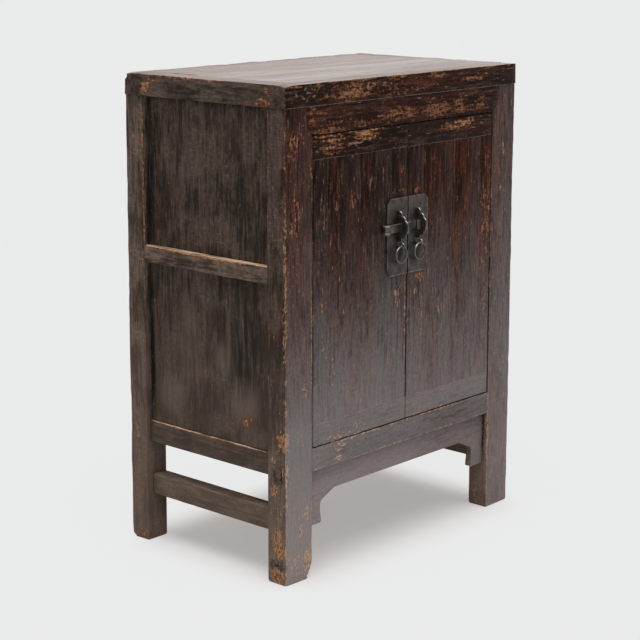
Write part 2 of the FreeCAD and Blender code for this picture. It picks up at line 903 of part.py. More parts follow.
both_sides("lug_{side}", cut("lug", joined("lug_blank", lug_plate, lug_tail), bar_slot))

# Cotter: an eye whose shank passes through the door, with its legs spread behind it
cotter_eye = turned_ring("cotter_eye", "cotter_eye_radius", "cotter_wire_radius", (0, 1, 0), (
    "-lug_offset", "eye_deep", "cotter_height"
))
cotter_shank = doc.addObject("Part::Cylinder", "cotter_shank")
cotter_shank.Placement.Rotation = FreeCAD.Rotation(FreeCAD.Vector(1, 0, 0), -90)
bind(cotter_shank, {
    "Radius": "cotter_shank_radius",
    "Height": "cotter_standoff - cotter_eye_radius + door_thickness",
    "Placement.Base.x": "-lug_offset",
    "Placement.Base.y": "eye_deep + cotter_eye_radius",
    "Placement.Base.z": "cotter_height",
})
cotter_legs = block(
    "cotter_legs",
    ("-lug_offset - cotter_leg_width / 2", "-lug_offset + cotter_leg_width / 2"),
    ("door_back", "door_back + cotter_leg_thickness"),
    ("cotter_height - cotter_leg_length", "cotter_height + cotter_leg_length"),
)
both_sides("cotter_{side}", joined("cotter", cotter_eye, cotter_shank, cotter_legs))

# Face plate with clipped outer corners, pierced for the lug's tail
plate_outline = (
    ("plate_inner", "plate_underside"),
    ("plate_inner", "plate_top"),
    ("plate_outer + plate_corner", "plate_top"),
    ("plate_outer", "plate_top - plate_corner"),
    ("plate_outer", "plate_underside + plate_corner"),
    ("plate_outer + plate_corner", "plate_underside"),
)
both_sides("face_plate_{side}", cut(
    "face_plate",
    slab("face_plate_blank", "XZ_Plane", plate_outline, "front_face", "plate_thickness"),
    lug_tail,
    cotter_shank,
))
both_sides("door_{side}_meeting_stile", cut(
    "door_meeting_stile", meeting_stile, door_boards["inner"], lug_tail, cotter_shank
))

# Ring pull, hanging in the cotter's eye
both_sides("ring_{side}", turned_ring("ring", "ring_radius", "ring_wire_radius", (1, 0, 0), (
    "-lug_offset", "eye_deep", "ring_axis_height - ring_radius"
)))

# Lock bar through the left lug, drawn back so that both doors can open, with a rolled end as its head
bar_head = rod("lock_bar_head", "bar_head_radius", "bar_head_across", "bar_head_deep", (
    "lug_height - bar_head_height / 2", "lug_height + bar_head_height / 2"
))
bar_shank = block("lock_bar_shank", ("bar_head_across", "bar_tip"), ("bar_front", "bar_back"), (
    "bar_low", "bar_high"
))
keep("lock_bar", joined("lock_bar", bar_head, bar_shank))

doc.recompute()


def write_parts():
    """Checks every object and writes each sub-part's solid to its own file."""
    for thing in doc.Objects:
        if "Invalid" in thing.State or "Error" in thing.State:
            raise RuntimeError(f"{thing.Name} failed: {thing.State}")
    for piece in parts:
        if piece.Shape.isNull() or not piece.Shape.isValid():
            raise RuntimeError(f"{piece.Label} has no valid shape")
    os.makedirs("parts", exist_ok=True)
    for piece in parts:
        piece.Shape.exportStep(f"parts/{piece.Label}.step")


write_parts()
for piece in parts:
    print(f"{piece.Label:28s} solids {len(piece.Shape.Solids)}  volume {piece.Shape.Volume:12.1f}")
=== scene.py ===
import json
import math
import random

import bmesh
import bpy
from mathutils import Matrix, Vector, noise


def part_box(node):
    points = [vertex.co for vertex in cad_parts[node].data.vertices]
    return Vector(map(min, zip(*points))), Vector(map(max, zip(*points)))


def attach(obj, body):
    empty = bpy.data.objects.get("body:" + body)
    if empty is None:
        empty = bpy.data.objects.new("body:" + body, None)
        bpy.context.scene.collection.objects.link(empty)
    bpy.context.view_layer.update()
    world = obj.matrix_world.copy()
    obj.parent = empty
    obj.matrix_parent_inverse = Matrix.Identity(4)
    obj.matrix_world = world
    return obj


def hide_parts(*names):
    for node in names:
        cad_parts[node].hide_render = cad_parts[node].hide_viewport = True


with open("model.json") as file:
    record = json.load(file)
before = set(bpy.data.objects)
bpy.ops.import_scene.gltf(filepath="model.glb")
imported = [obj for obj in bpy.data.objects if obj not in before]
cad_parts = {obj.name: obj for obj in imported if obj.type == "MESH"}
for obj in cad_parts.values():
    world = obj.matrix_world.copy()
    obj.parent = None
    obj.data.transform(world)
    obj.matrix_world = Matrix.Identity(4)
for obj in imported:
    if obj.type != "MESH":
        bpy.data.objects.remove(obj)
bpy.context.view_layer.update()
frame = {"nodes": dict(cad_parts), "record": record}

MM = 0.001
UP, DEEP, ACROSS = "up", "deep", "across"
GRAIN_AXIS = {ACROSS: 0, DEEP: 1, UP: 2}


def put_in_scene(name, data):
    made = bpy.data.objects.new(name, data)
    bpy.context.scene.collection.objects.link(made)
    return made


# Camera: its place in metres, how far it looks down, and its turn from +Y towards +X, in degrees.

CAMERA_PLACE = (-2.406, -2.1305, 1.121)
CAMERA_TILT = 10.24
CAMERA_TURN = 47.46
SENSOR_WIDTH = 36
LENS = 98.83
SHIFT_X, SHIFT_Y = 0.03125, -0.125
FARTHEST_SEEN = 200

camera_data = bpy.data.cameras.new("camera")
camera = put_in_scene("camera", camera_data)
camera.location = CAMERA_PLACE
camera.rotation_euler = (math.radians(90 - CAMERA_TILT), 0, math.radians(-CAMERA_TURN))
camera_data.sensor_width = SENSOR_WIDTH
camera_data.lens = LENS
camera_data.shift_x = SHIFT_X
camera_data.shift_y = SHIFT_Y
camera_data.clip_end = FARTHEST_SEEN
bpy.context.scene.camera = camera


# Node building

SPOT_FADES = (1.15, 0.35)


class Nodes:
    """A node tree under construction."""

    def __init__(self, tree):
        self.tree = tree

    def node(self, kind, inputs, **settings):
        """Adds a node, sets its properties, and fills its inputs with numbers or sockets."""
        made = self.tree.nodes.new(kind)
        for name, value in settings.items():
            setattr(made, name, value)
        for name, value in inputs.items():
            self.fill(made.inputs[name], value)
        return made

    def fill(self, socket, value):
        """Links an output to an input, or sets the input's own number, vector or colour."""
        if isinstance(value, bpy.types.NodeSocket):
            self.tree.links.new(value, socket)
        else:
            socket.default_value = (*value, 1) if socket.type == "RGBA" else value

    def number(self, operation, *values, clamp=False):
        """A Math node."""
        inputs = dict(enumerate(values))
        return self.node("ShaderNodeMath", inputs, operation=operation, use_clamp=clamp).outputs[0]

    def add(self, *values):
        total = values[0]
        for value in values[1:]:
            total = self.number("ADD", total, value)
        return total

    def times(self, *values):
        product = values[0]
        for value in values[1:]:
            product = self.number("MULTIPLY", product, value)
        return product

    def less(self, value):
        """1 less a value."""
        return self.number("SUBTRACT", 1.0, value)

    def centred(self, field):
        """A noise field about 0 instead of 0.5."""
        return self.number("SUBTRACT", field, 0.5)

    def vector(self, operation, *values, output="Vector"):
        """A Vector Math node."""
        inputs = dict(enumerate(values))
        return self.node("ShaderNodeVectorMath", inputs, operation=operation).outputs[output]

    def ramp(self, value, low, high):
        """Goes smoothly from 0 to 1 as the value goes from low to high; low may be the larger."""
        return self.node(
            "ShaderNodeMapRange", {"Value": value, "From Min": low, "From Max": high},
            interpolation_type="SMOOTHSTEP", clamp=True,
        ).outputs["Result"]

    def mix(self, share, first, second):
        """Mixes two colours."""
        return self.node("ShaderNodeMix", {0: share, 6: first, 7: second}, data_type="RGBA").outputs[2]

    def blend(self, share, first, second):
        """Mixes two numbers."""
        return self.add(self.times(share, second), self.times(self.less(share), first))

    def glaze(self, coat, field, low, high, share, colour):
        """Lays a colour over a coat, up to a share of it, as a field goes from low to high."""
        return self.mix(self.times(self.ramp(field, low, high), share), coat, colour)

    def background_rays(self):
        """1 for the rays that meet the pale background: from the camera, in gloss and through glass."""
        rays = self.node("ShaderNodeLightPath", {}).outputs
        shown = self.number("MAXIMUM", rays["Is Camera Ray"], rays["Is Glossy Ray"])
        return self.number("MAXIMUM", shown, rays["Is Transmission Ray"])


class Finish(Nodes):
    """A material under construction."""

    def __init__(self, name):
        self.material = bpy.data.materials.new(name)
        self.material.use_nodes = True
        super().__init__(self.material.node_tree)
        self.shader = self.tree.nodes["Principled BSDF"]
        coordinates = self.tree.nodes.new("ShaderNodeTexCoord")
        self.place = coordinates.outputs["Object"]
        self.facing = self.parts_of(coordinates.outputs["Normal"])
        self.at = self.parts_of(self.place)
        self.own = None

    def parts_of(self, vector):
        """The X, Y and Z of a vector."""
        return self.node("ShaderNodeSeparateXYZ", {0: vector}).outputs

    def attribute(self, name):
        return self.node("ShaderNodeAttribute", {}, attribute_name=name).outputs["Vector"]

    def own_place(self):
        """Object coordinates, shifted by the piece's own amount, so that each piece has its own grain."""
        if self.own is None:
            self.own = self.vector("ADD", self.place, self.attribute("piece_shift"))
        return self.own

    def cloud(self, scale, detail=3, roughness=0.6, distortion=0.0, own=True):
        """Noise about 0.5; the scale is in cycles per metre along X, Y and Z."""
        place = self.own_place() if own else self.place
        return self.node("ShaderNodeTexNoise", {
            "Vector": self.vector("MULTIPLY", place, scale),
            "Scale": 1.0,
            "Detail": detail,
            "Roughness": roughness,
            "Distortion": distortion,
        }).outputs["Fac"]

    def box_distances(self, word):
        """How far a point is, along X, Y and Z, from the sides of a box whose corners are on the mesh."""
        over_low = self.vector("SUBTRACT", self.place, self.attribute(word + "_low"))
        under_high = self.vector("SUBTRACT", self.attribute(word + "_high"), self.place)
        return self.parts_of(self.vector("MINIMUM", over_low, under_high))

    def side_distance(self, word):
        """How far a point is from the nearest side of such a box."""
        x, y, z = self.box_distances(word)
        return self.number("MINIMUM", self.number("MINIMUM", x, y), z)

    def edge_distance(self, word):
        """How far a point is from the nearest edge of such a box: the middle one of the three distances."""
        x, y, z = self.box_distances(word)
        least = self.number("MINIMUM", self.number("MINIMUM", x, y), z)
        most = self.number("MAXIMUM", self.number("MAXIMUM", x, y), z)
        return self.number("SUBTRACT", self.number("SUBTRACT", self.add(x, y, z), least), most)

    def spot(self, centre, reach, strength):
        """A soft-edged patch round a place; centre and reach are in millimetres."""
        offset = self.vector("SUBTRACT", self.place, tuple(value * MM for value in centre))
        share = self.vector("DIVIDE", offset, tuple(value * MM for value in reach))
        length = self.vector("LENGTH", share, output="Value")
        return self.times(self.ramp(length, *SPOT_FADES), strength)

    def spots(self, table):
        return self.add(0.0, *[self.spot(*row) for row in table])

    def bump(self, height, distance, strength):
        inputs = {"Height": height, "Distance": distance, "Strength": strength}
        return self.node("ShaderNodeBump", inputs).outputs["Normal"]

    def finish(self, **inputs):
        """Fills the shader's inputs, named as in base_color, and gives the material."""
        for name, value in inputs.items():
            name = name.replace("_", " ").title().replace("Ior", "IOR")
            self.fill(self.shader.inputs[name], value)
        return self.material


# Colours of the lacquer on the front

NIGHT_DARK = (0.0065, 0.0038, 0.0028)
NIGHT_LIGHT = (0.021, 0.012, 0.0085)
MADDER_DARK = (0.024, 0.0065, 0.0038)
MADDER_LIGHT = (0.082, 0.021, 0.0115)
# Painted reflection of the floor, with dust: the pale colours that the front takes on towards the floor
SHEEN_AND_DUST_WARM = (0.29, 0.233, 0.226)
SHEEN_AND_DUST_COOL = (0.22, 0.205, 0.203)
SHEEN_AND_DUST_FOOT = (0.36, 0.297, 0.285)
FRONT_FIBRE = (0.24, 0.14, 0.1)
FRONT_PORE = (0.004, 0.002, 0.0012)
FRONT_STAIN_AND_SHADE = (0.008, 0.006, 0.0055)
LACQUER_SHINE = (1.0, 0.74, 0.6)

# Colours of the lacquer on the sides

SIDE_DARK = (0.027, 0.0185, 0.0135)
SIDE_LIGHT = (0.083, 0.057, 0.043)
SIDE_PALE_PATCH = (0.1, 0.071, 0.055)
SIDE_DARK_PATCH = (0.023, 0.0165, 0.0135)
SIDE_FIBRE = (0.135, 0.093, 0.068)
SIDE_PORE = (0.017, 0.012, 0.009)
SIDE_RIPPLE = (0.17, 0.13, 0.105)
SIDE_LOW = (0.14, 0.1, 0.077)
SIDE_SMUDGE = (0.175, 0.13, 0.105)
SIDE_STAIN_AND_SHADE = (0.016, 0.0155, 0.0145)

# Colours of the top and of the bare inside

TOP_DARK = (0.07, 0.03, 0.019)
TOP_LIGHT = (0.26, 0.143, 0.098)
TOP_RUBBED = (0.29, 0.167, 0.118)
TOP_PORE = (0.045, 0.022, 0.015)
INSIDE_DARK = (0.13, 0.074, 0.042)
INSIDE_LIGHT = (0.27, 0.17, 0.104)
INSIDE_FIBRE = (0.1, 0.056, 0.033)
INSIDE_STAIN = (0.1, 0.066, 0.046)

# Colours of what wear lays bare, of painted shade at edges, and of dust with a painted highlight in joints

BARE_DARK = (0.11, 0.043, 0.02)
RUSSET = (0.2, 0.08, 0.038)
BARE_LIGHT = (0.42, 0.215, 0.115)
PALE_BARE = (0.62, 0.45, 0.36)
LEDGE_DARK = (0.2, 0.1, 0.055)
LEDGE_LIGHT = (0.78, 0.56, 0.39)
UNDERCOAT = (0.085, 0.026, 0.014)
FLECK = (0.33, 0.22, 0.155)
EDGE_SHADE = (0.004, 0.003, 0.003)
JOINT_DUST_AND_HIGHLIGHT = (0.2, 0.15, 0.125)
LOW_DUST_AND_HIGHLIGHT = (0.36, 0.3, 0.27)

# Colours of the iron

IRON_DARK = (0.03, 0.024, 0.02)
IRON_PALE = (0.062, 0.051, 0.044)
IRON_RUST = (0.085, 0.045, 0.028)
IRON_RUBBED_AND_SHEEN = (0.56, 0.49, 0.44)
IRON_SHADOW = (0.008, 0.006, 0.005)
IRON_GLINT = (0.85, 0.8, 0.72)

# How far a face's normal points a way where it starts to count as facing that way, and where it does in full.

FACES_FRONT = (-0.35, -0.75)
FACES_REAR = (0.3, 0.7)
FACES_UP = (0.55, 0.85)
LEDGE_FACES_UP = (0.2, 0.6)

# Distances from an edge or a side, in metres, at which wear, dust, painted shade or a painted highlight
# starts, and at which it is full.

EDGE_RUBBED = (0.0045, 0.0003)
ARRIS_RUBBED = (0.0016, 0.0005)
EDGE_SHADED = (0.002, 0.0007)
SEAM_DUST_AND_HIGHLIGHT = (0.0012, 0.0004)
IRON_EDGE_RUBBED_AND_SHEEN = (0.002, 0.0005)

# Amounts of wear at which something starts to show, and at which it shows in full.

GROUND_SHOWS = (0.59, 0.64)
WOOD_SHOWS = (0.63, 0.68)
WOOD_PALES = (0.665, 0.785)

TOP_ROUGHNESS = 0.33
POLISH_ROUGHNESS = 0.24


# Wood finishes


class Wood(Finish):
    """A wood finish: its coats, one for each way that a face may look, and the wear over them."""

    def __init__(self, name, grain):
        super().__init__(name)
        self.grain = grain
        self.broad = self.grained(11, 2.6, own=False)
        self.figure = self.grained(75, 7, 4, 0.65, 0.8)
        self.fibre = self.grained(190, 20, 3, 0.65)
        self.fine = self.grained(420, 150, 2)
        self.streak = self.grained(250, 38)
        self.mottle = self.cloud((165, 165, 165), 3, 0.62)
        self.patch = self.cloud((15, 15, 15))
        self.floor_sheen_and_dust = 0.0

    def grained(self, across, along, *settings, **options):
        """Noise drawn out along the grain; across and along are in cycles per metre."""
        scale = [across] * 3
        scale[GRAIN_AXIS[self.grain]] = along
        return self.cloud(tuple(scale), *settings, **options)

    def lit(self, coat, light):
        """A coat made lighter or darker by a factor."""
        inputs = {0: coat, "Scale": light}
        return self.node("ShaderNodeVectorMath", inputs, operation="SCALE").outputs["Vector"]

    def grainy(self, coat, depth):
        """Varies a coat's lightness in fine streaks and specks."""
        grit = self.add(self.times(self.mottle, 0.5), self.times(self.fine, 0.5))
        specks = self.times(self.centred(grit), 14.0, depth)
        streaks = self.times(self.centred(self.streak), 7.0, depth)
        return self.lit(coat, self.number("MAXIMUM", self.add(1.0, specks, streaks), 0.25))

    def front_coat(self, red, haze, dark, pales):
        """Near-black lacquer over a red ground, greyer towards the floor with a painted reflection of the
        floor and with dust.
        """
        figure = self.ramp(self.figure, 0.36, 0.66)
        night = self.mix(figure, NIGHT_DARK, NIGHT_LIGHT)
        madder = self.mix(figure, MADDER_DARK, MADDER_LIGHT)
        warmth = self.times(self.ramp(self.broad, 0.36, 0.66), 0.36)
        coat = self.mix(self.number("ADD", warmth, red, clamp=True), night, madder)
        # Painted reflection of the floor, with dust: the coat greys towards the floor, most at the foot of
        # the left front post.
        height = self.add(self.at[2], self.times(self.centred(self.broad), 0.3))
        self.floor_sheen_and_dust = self.number("ADD", self.times(self.ramp(height, 0.69, 0.1), haze), pales, clamp=True)
        dust_and_sheen = self.glaze(SHEEN_AND_DUST_WARM, self.broad, 0.56, 0.42, 0.7, SHEEN_AND_DUST_COOL)
        foot = self.times(self.ramp(self.at[2], 0.26, 0.05), self.ramp(self.at[0], 0.15, -0.25), 0.6)
        coat = self.mix(self.floor_sheen_and_dust, coat, self.mix(foot, dust_and_sheen, SHEEN_AND_DUST_FOOT))
        coat = self.glaze(coat, self.fibre, 0.5, 0.72, 0.5, self.mix(0.5, coat, FRONT_FIBRE))
        pore = self.mix(self.blend(self.floor_sheen_and_dust, 0.6, 0.1), coat, FRONT_PORE)
        coat = self.mix(self.ramp(self.fibre, 0.49, 0.36), coat, pore)
        # Dark spots: stains, and painted shade in corners, recesses and beside the iron plates.
        coat = self.mix(dark, coat, FRONT_STAIN_AND_SHADE)
        return self.grainy(coat, self.blend(self.floor_sheen_and_dust, 0.2, 0.045))

    def side_coat(self, dark, light, pales=0.0):
        """Thin matte lacquer over open grain, rubbed pale in places."""
        coat = self.mix(self.ramp(self.figure, 0.38, 0.62), SIDE_DARK, SIDE_LIGHT)
        coat = self.glaze(coat, self.patch, 0.46, 0.62, 0.65, SIDE_PALE_PATCH)
        coat = self.glaze(coat, self.patch, 0.48, 0.36, 0.65, SIDE_DARK_PATCH)
        coat = self.glaze(coat, self.fibre, 0.52, 0.76, 0.7, SIDE_FIBRE)
        coat = self.glaze(coat, self.fibre, 0.48, 0.3, 0.6, SIDE_PORE)
        coat = self.grainy(coat, 0.16)
        ripple = self.ramp(self.cloud((55, 55, 330), 2), 0.55, 0.68)
        coat = self.glaze(coat, self.patch, 0.47, 0.6, self.times(ripple, 0.45), SIDE_RIPPLE)
        coat = self.glaze(coat, self.at[2], 0.6, 0.08, 0.4, SIDE_LOW)
        coat = self.mix(pales, coat, SIDE_SMUDGE)
        # Dark spots: stains, and painted shade in recesses.
        return self.lit(self.mix(dark, coat, SIDE_STAIN_AND_SHADE), light)

    def top_coat(self):
        """Rubbed, dusty lacquer."""
        coat = self.mix(self.ramp(self.figure, 0.4, 0.6), TOP_DARK, TOP_LIGHT)
        coat = self.glaze(coat, self.broad, 0.42, 0.6, 0.55, TOP_RUBBED)
        coat = self.glaze(coat, self.fibre, 0.5, 0.38, 0.6, TOP_PORE)
        return self.grainy(coat, 0.08)

    def inside_coat(self):
        """Bare wood, browned by age."""
        coat = self.mix(self.ramp(self.figure, 0.34, 0.66), INSIDE_DARK, INSIDE_LIGHT)
        coat = self.glaze(coat, self.fibre, 0.5, 0.7, 0.6, INSIDE_FIBRE)
        return self.glaze(coat, self.patch, 0.5, 0.68, 0.5, INSIDE_STAIN)

    def polish(self):
        """How far the top still shines: less in worn streaks and towards the back."""
        streaks = self.blend(self.ramp(self.grained(26, 1.8), 0.4, 0.6), 0.6, 0.25)
        return self.times(streaks, self.blend(self.ramp(self.at[1], -0.02, 0.2), 1.0, 0.3))

    def worn(self, coat, spots, edges, seams=0.5, flecks=0.0, scrapes=1.0, under=0.8, bare=1.0):
        """Wears a coat through to its red ground and to bare wood, in patches and at edges.

        Where edges is below 0, they get painted shade instead of being rubbed.
        """
        field = self.add(self.times(self.streak, 0.5), self.times(self.mottle, 0.5))
        field = self.add(field, self.times(self.centred(self.fine), 0.3))
        edge = self.edge_distance("wear")
        # Where edges is below 0, as on the door's pieces, painted shade darkens the edges at their gaps.
        if edges < 0:
            coat = self.glaze(coat, edge, *EDGE_SHADED, -edges, EDGE_SHADE)
        else:
            wide = self.times(self.ramp(edge, *EDGE_RUBBED), self.ramp(self.patch, 0.4, 0.62), 0.06 * edges)
            fine = self.times(self.ramp(edge, *ARRIS_RUBBED), self.ramp(self.patch, 0.3, 0.55), 0.11 * edges)
            field = self.add(field, wide, fine)
        field = self.add(field, self.times(spots, 0.095), self.times(self.ramp(self.patch, 0.6, 0.74), 0.03))
        under = self.times(under, self.less(self.times(self.floor_sheen_and_dust, 0.9)))
        coat = self.glaze(coat, field, *GROUND_SHOWS, under, UNDERCOAT)
        wood = self.glaze(RUSSET, field, *WOOD_PALES, bare, BARE_LIGHT)
        # Bare wood is paled towards the floor by the same painted reflection of the floor.
        wood = self.mix(self.times(self.floor_sheen_and_dust, 0.75), wood, PALE_BARE)
        wood = self.glaze(wood, self.fine, 0.54, 0.4, 0.75, BARE_DARK)
        self.through = self.ramp(field, *WOOD_SHOWS)
        coat = self.mix(self.through, coat, wood)
        chafed = self.mix(self.ramp(self.patch, 0.4, 0.52), BARE_LIGHT, FLECK)
        coat = self.glaze(coat, self.streak, 0.655, 0.71, 0.75 * scrapes, chafed)
        # Pale lines at the joints: dust, with a painted highlight on their eased edges.
        seam = self.times(self.ramp(self.side_distance("joint"), *SEAM_DUST_AND_HIGHLIGHT), seams)
        dust_and_sheen = self.mix(self.ramp(self.at[2], 0.5, 0.2), JOINT_DUST_AND_HIGHLIGHT, LOW_DUST_AND_HIGHLIGHT)
        coat = self.glaze(coat, self.mottle, 0.35, 0.5, seam, dust_and_sheen)
        return self.glaze(coat, self.mottle, 0.56, 0.63, flecks, FLECK)

    def relief(self, depth, strength):
        """Grain that stands up in the bump, and wood that is worn lower than its lacquer."""
        height = self.add(self.times(self.fibre, 0.8), self.times(self.fine, 0.5))
        height = self.add(height, self.times(self.figure, 0.7))
        return self.bump(self.number("SUBTRACT", height, self.times(self.through, 0.5)), depth, strength)

    def upper_face(self, colour, rough):
        """Gives the faces that look up the finish of the top."""
        above = self.ramp(self.facing[2], *FACES_UP)
        colour = self.mix(above, colour, self.mix(self.through, self.top_coat(), BARE_LIGHT))
        rough = self.blend(above, rough, TOP_ROUGHNESS)
        shine = {"coat_weight": self.times(above, self.polish()), "coat_roughness": POLISH_ROUGHNESS}
        return colour, rough, shine


def front_finish(name, grain, wear=(), red=0.0, reds=(), pales=(), shade_and_stains=(), flecks=(), haze=1.0,
                 edges=1.0, seams=0.5, scrapes=1.0, bare=1.0, top=False):
    wood = Wood(name, grain)
    dark = wood.times(wood.spots(shade_and_stains), wood.ramp(wood.mottle, 0.36, 0.56))
    coat = wood.front_coat(wood.add(wood.spots(reds), red), haze, dark, wood.spots(pales))
    front = wood.worn(coat, wood.spots(wear), edges, seams, wood.spots(flecks), scrapes, bare=bare)
    light = wood.blend(wood.ramp(wood.at[2], 0.36, 0.12), 1.0, 1.7)
    bared = wood.mix(wood.ramp(wood.fine, 0.37, 0.56), BARE_DARK, BARE_LIGHT)
    side = wood.mix(wood.through, wood.side_coat(dark, light), bared)
    ahead = wood.ramp(wood.facing[1], *FACES_FRONT)
    colour = wood.mix(ahead, side, front)
    colour = wood.mix(wood.ramp(wood.facing[1], *FACES_REAR), colour, wood.inside_coat())
    rough = wood.blend(ahead, 0.62, 0.4)
    rough = wood.add(rough, wood.times(wood.centred(wood.mottle), 0.35), wood.times(wood.through, 0.2))
    shine = {}
    if top:
        colour, rough, shine = wood.upper_face(colour, rough)
    return wood.finish(
        base_color=colour, roughness=rough, specular_ior_level=0.05, specular_tint=LACQUER_SHINE,
        normal=wood.relief(0.0004, 0.7), **shine
    )


def side_finish(name, grain, wear=(), shade_and_stains=(), pales=(), edges=0.7, ledge=0.0, light=1.0, top=False):
    wood = Wood(name, grain)
    dark = wood.times(wood.spots(shade_and_stains), wood.ramp(wood.figure, 0.66, 0.4), 0.85)
    coat = wood.side_coat(dark, light, wood.spots(pales))
    colour = wood.worn(coat, wood.spots(wear), edges, 0.3, scrapes=0.15, under=0.3)
    if ledge:
        # The rails' tops are pale: bare wood, with painted top light on their upward faces.
        bare = wood.mix(wood.ramp(wood.fibre, 0.38, 0.56), LEDGE_DARK, LEDGE_LIGHT)
        colour = wood.glaze(colour, wood.facing[2], *LEDGE_FACES_UP, ledge, bare)
    rough = wood.add(0.62, wood.times(wood.centred(wood.mottle), 0.3))
    shine = {}
    if top:
        colour, rough, shine = wood.upper_face(colour, rough)
    return wood.finish(
        base_color=colour, roughness=rough, specular_ior_level=0.06, normal=wood.relief(0.0006, 0.9), **shine
    )


def top_finish(name, grain):
    wood = Wood(name, grain)
    colour = wood.worn(wood.top_coat(), 0.0, 0.3, 0.35, scrapes=0.2, under=0.3)
    rough = wood.add(TOP_ROUGHNESS, wood.times(wood.centred(wood.mottle), 0.2))
    return wood.finish(
        base_color=colour, roughness=rough, specular_ior_level=0.3, normal=wood.relief(0.0003, 0.4),
        coat_weight=wood.polish(), coat_roughness=POLISH_ROUGHNESS,
    )


def inside_finish(name, grain):
    wood = Wood(name, grain)
    colour = wood.worn(wood.inside_coat(), 0.0, 0.3, scrapes=0.0)
    normal = wood.relief(0.0006, 0.8)
    return wood.finish(base_color=colour, roughness=0.75, specular_ior_level=0.25, normal=normal)


def forged_iron(name, light, smooth=0.27, rim=0.0, rim_from=0.0, shade_and_stains=()):
    """Dark forged iron, rubbed bright along its edges, with a painted reflection added where they look down
    or to the right.

    With rim, a painted glint is laid where it looks up, above the height rim_from, in metres.
    """
    iron = Finish(name)
    patch = iron.cloud((70, 70, 70), own=False)
    pit = iron.cloud((620, 620, 620), own=False)
    dent = iron.cloud((210, 210, 210), 2, 0.5, own=False)
    dark = tuple(value * light for value in IRON_DARK)
    pale = tuple(value * light for value in IRON_PALE)
    colour = iron.mix(iron.ramp(patch, 0.35, 0.65), dark, pale)
    colour = iron.glaze(colour, pit, 0.56, 0.68, 0.5, IRON_RUST)
    # Edges that look down or to the right are brighter: rubbed iron, with a painted reflection.
    down = iron.ramp(iron.facing[2], 0.0, -0.5)
    right = iron.times(iron.ramp(iron.facing[0], 0.1, 0.5), 0.6)
    share = iron.blend(iron.number("MAXIMUM", down, right), 0.16, 0.9)
    edge = iron.times(iron.ramp(iron.edge_distance("piece"), *IRON_EDGE_RUBBED_AND_SHEEN), share)
    colour = iron.glaze(colour, patch, 0.3, 0.5, edge, IRON_RUBBED_AND_SHEEN)
    # Painted shadows of the rings and lugs on the plates.
    colour = iron.mix(iron.spots(shade_and_stains), colour, IRON_SHADOW)
    # Painted glint on faces that look up.
    high_up = iron.times(iron.ramp(iron.at[2], rim_from, rim_from + 0.008), rim)
    colour = iron.glaze(colour, iron.facing[2], 0.2, 0.75, high_up, IRON_GLINT)
    rough = iron.add(smooth, iron.times(pit, 0.3))
    normal = iron.bump(iron.add(iron.times(pit, 0.35), dent), 0.0006, 0.5)
    return iron.finish(base_color=colour, roughness=rough, metallic=0.75, normal=normal)


# Places that are worn or stained, and places of painted shade, shadow and reflection. Each row: centre and
# reach, in millimetres, and strength.

LINTEL_WEAR = [
    ((-254, -182, 800), (11, 9, 20), 1.32), ((-237, -182, 811), (26, 9, 10), 1.06),
    ((-199, -182, 797), (65, 9, 18), 0.66), ((-207, -182, 777), (55, 9, 7), 1.32),
    ((-123, -182, 783), (36, 9, 9), 0.88), ((-39, -182, 787), (55, 9, 11), 1.19),
    ((-13, -182, 797), (57, 9, 9), 1.06), ((25, -182, 787), (32, 9, 9), 0.97),
    ((86, -182, 790), (49, 9, 17), 1.36), ((149, -182, 800), (19, 9, 29), 1.10),
    ((210, -182, 797), (19, 9, 13), 1.10), ((202, -182, 816), (17, 9, 8), 0.88),
    ((183, -182, 785), (72, 9, 9), 0.79), ((0, -182, 790), (300, 9, 26), 0.38),
    ((110, -182, 806), (90, 9, 14), 0.35),
]
FRAME_WEAR = [
    ((-138, -184, 844), (62, 9, 17), 0.99), ((-160, -184, 831), (40, 9, 14), 1.22),
    ((78, -184, 854), (29, 9, 7), 1.26), ((181, -184, 839), (51, 9, 7), 1.30),
    ((-36, -184, 857), (29, 9, 8), 0.90), ((-265, -184, 856), (58, 9, 4), 1.17),
    ((-187, -184, 858), (29, 9, 4), 1.17), ((174, -184, 862), (89, 9, 6), 0.99),
    ((273, -184, 860), (53, 9, 6), 1.08), ((-31, -184, 831), (131, 9, 14), 0.50),
    ((-214, -184, 832), (27, 9, 16), 0.81), ((-318, -150, 846), (9, 12, 14), 0.72),
    ((0, -184, 842), (320, 9, 24), 0.50), ((-30, -184, 860), (290, 6, 3), 1.3),
]
TOP_CAP_WEAR = [
    ((-207, -182, 765), (55, 9, 11), 1.5), ((-109, -182, 770), (76, 9, 9), 1.65),
    ((-113, -182, 759), (48, 9, 9), 1.4), ((-180, -182, 749), (61, 9, 7), 1.1),
    ((-223, -182, 744), (31, 9, 13), 0.9), ((140, -182, 757), (62, 9, 10), 1.5),
    ((174, -182, 765), (38, 9, 6), 1.2), ((-150, -182, 752), (110, 9, 24), 0.5),
    ((150, -182, 752), (100, 9, 20), 0.4),
]
BOTTOM_CAP_WEAR = [
    ((-154, -182, 243), (75, 9, 24), 1.0), ((-204, -182, 235), (47, 9, 11), 0.8),
    ((60, -182, 236), (60, 9, 5), 0.8),
]
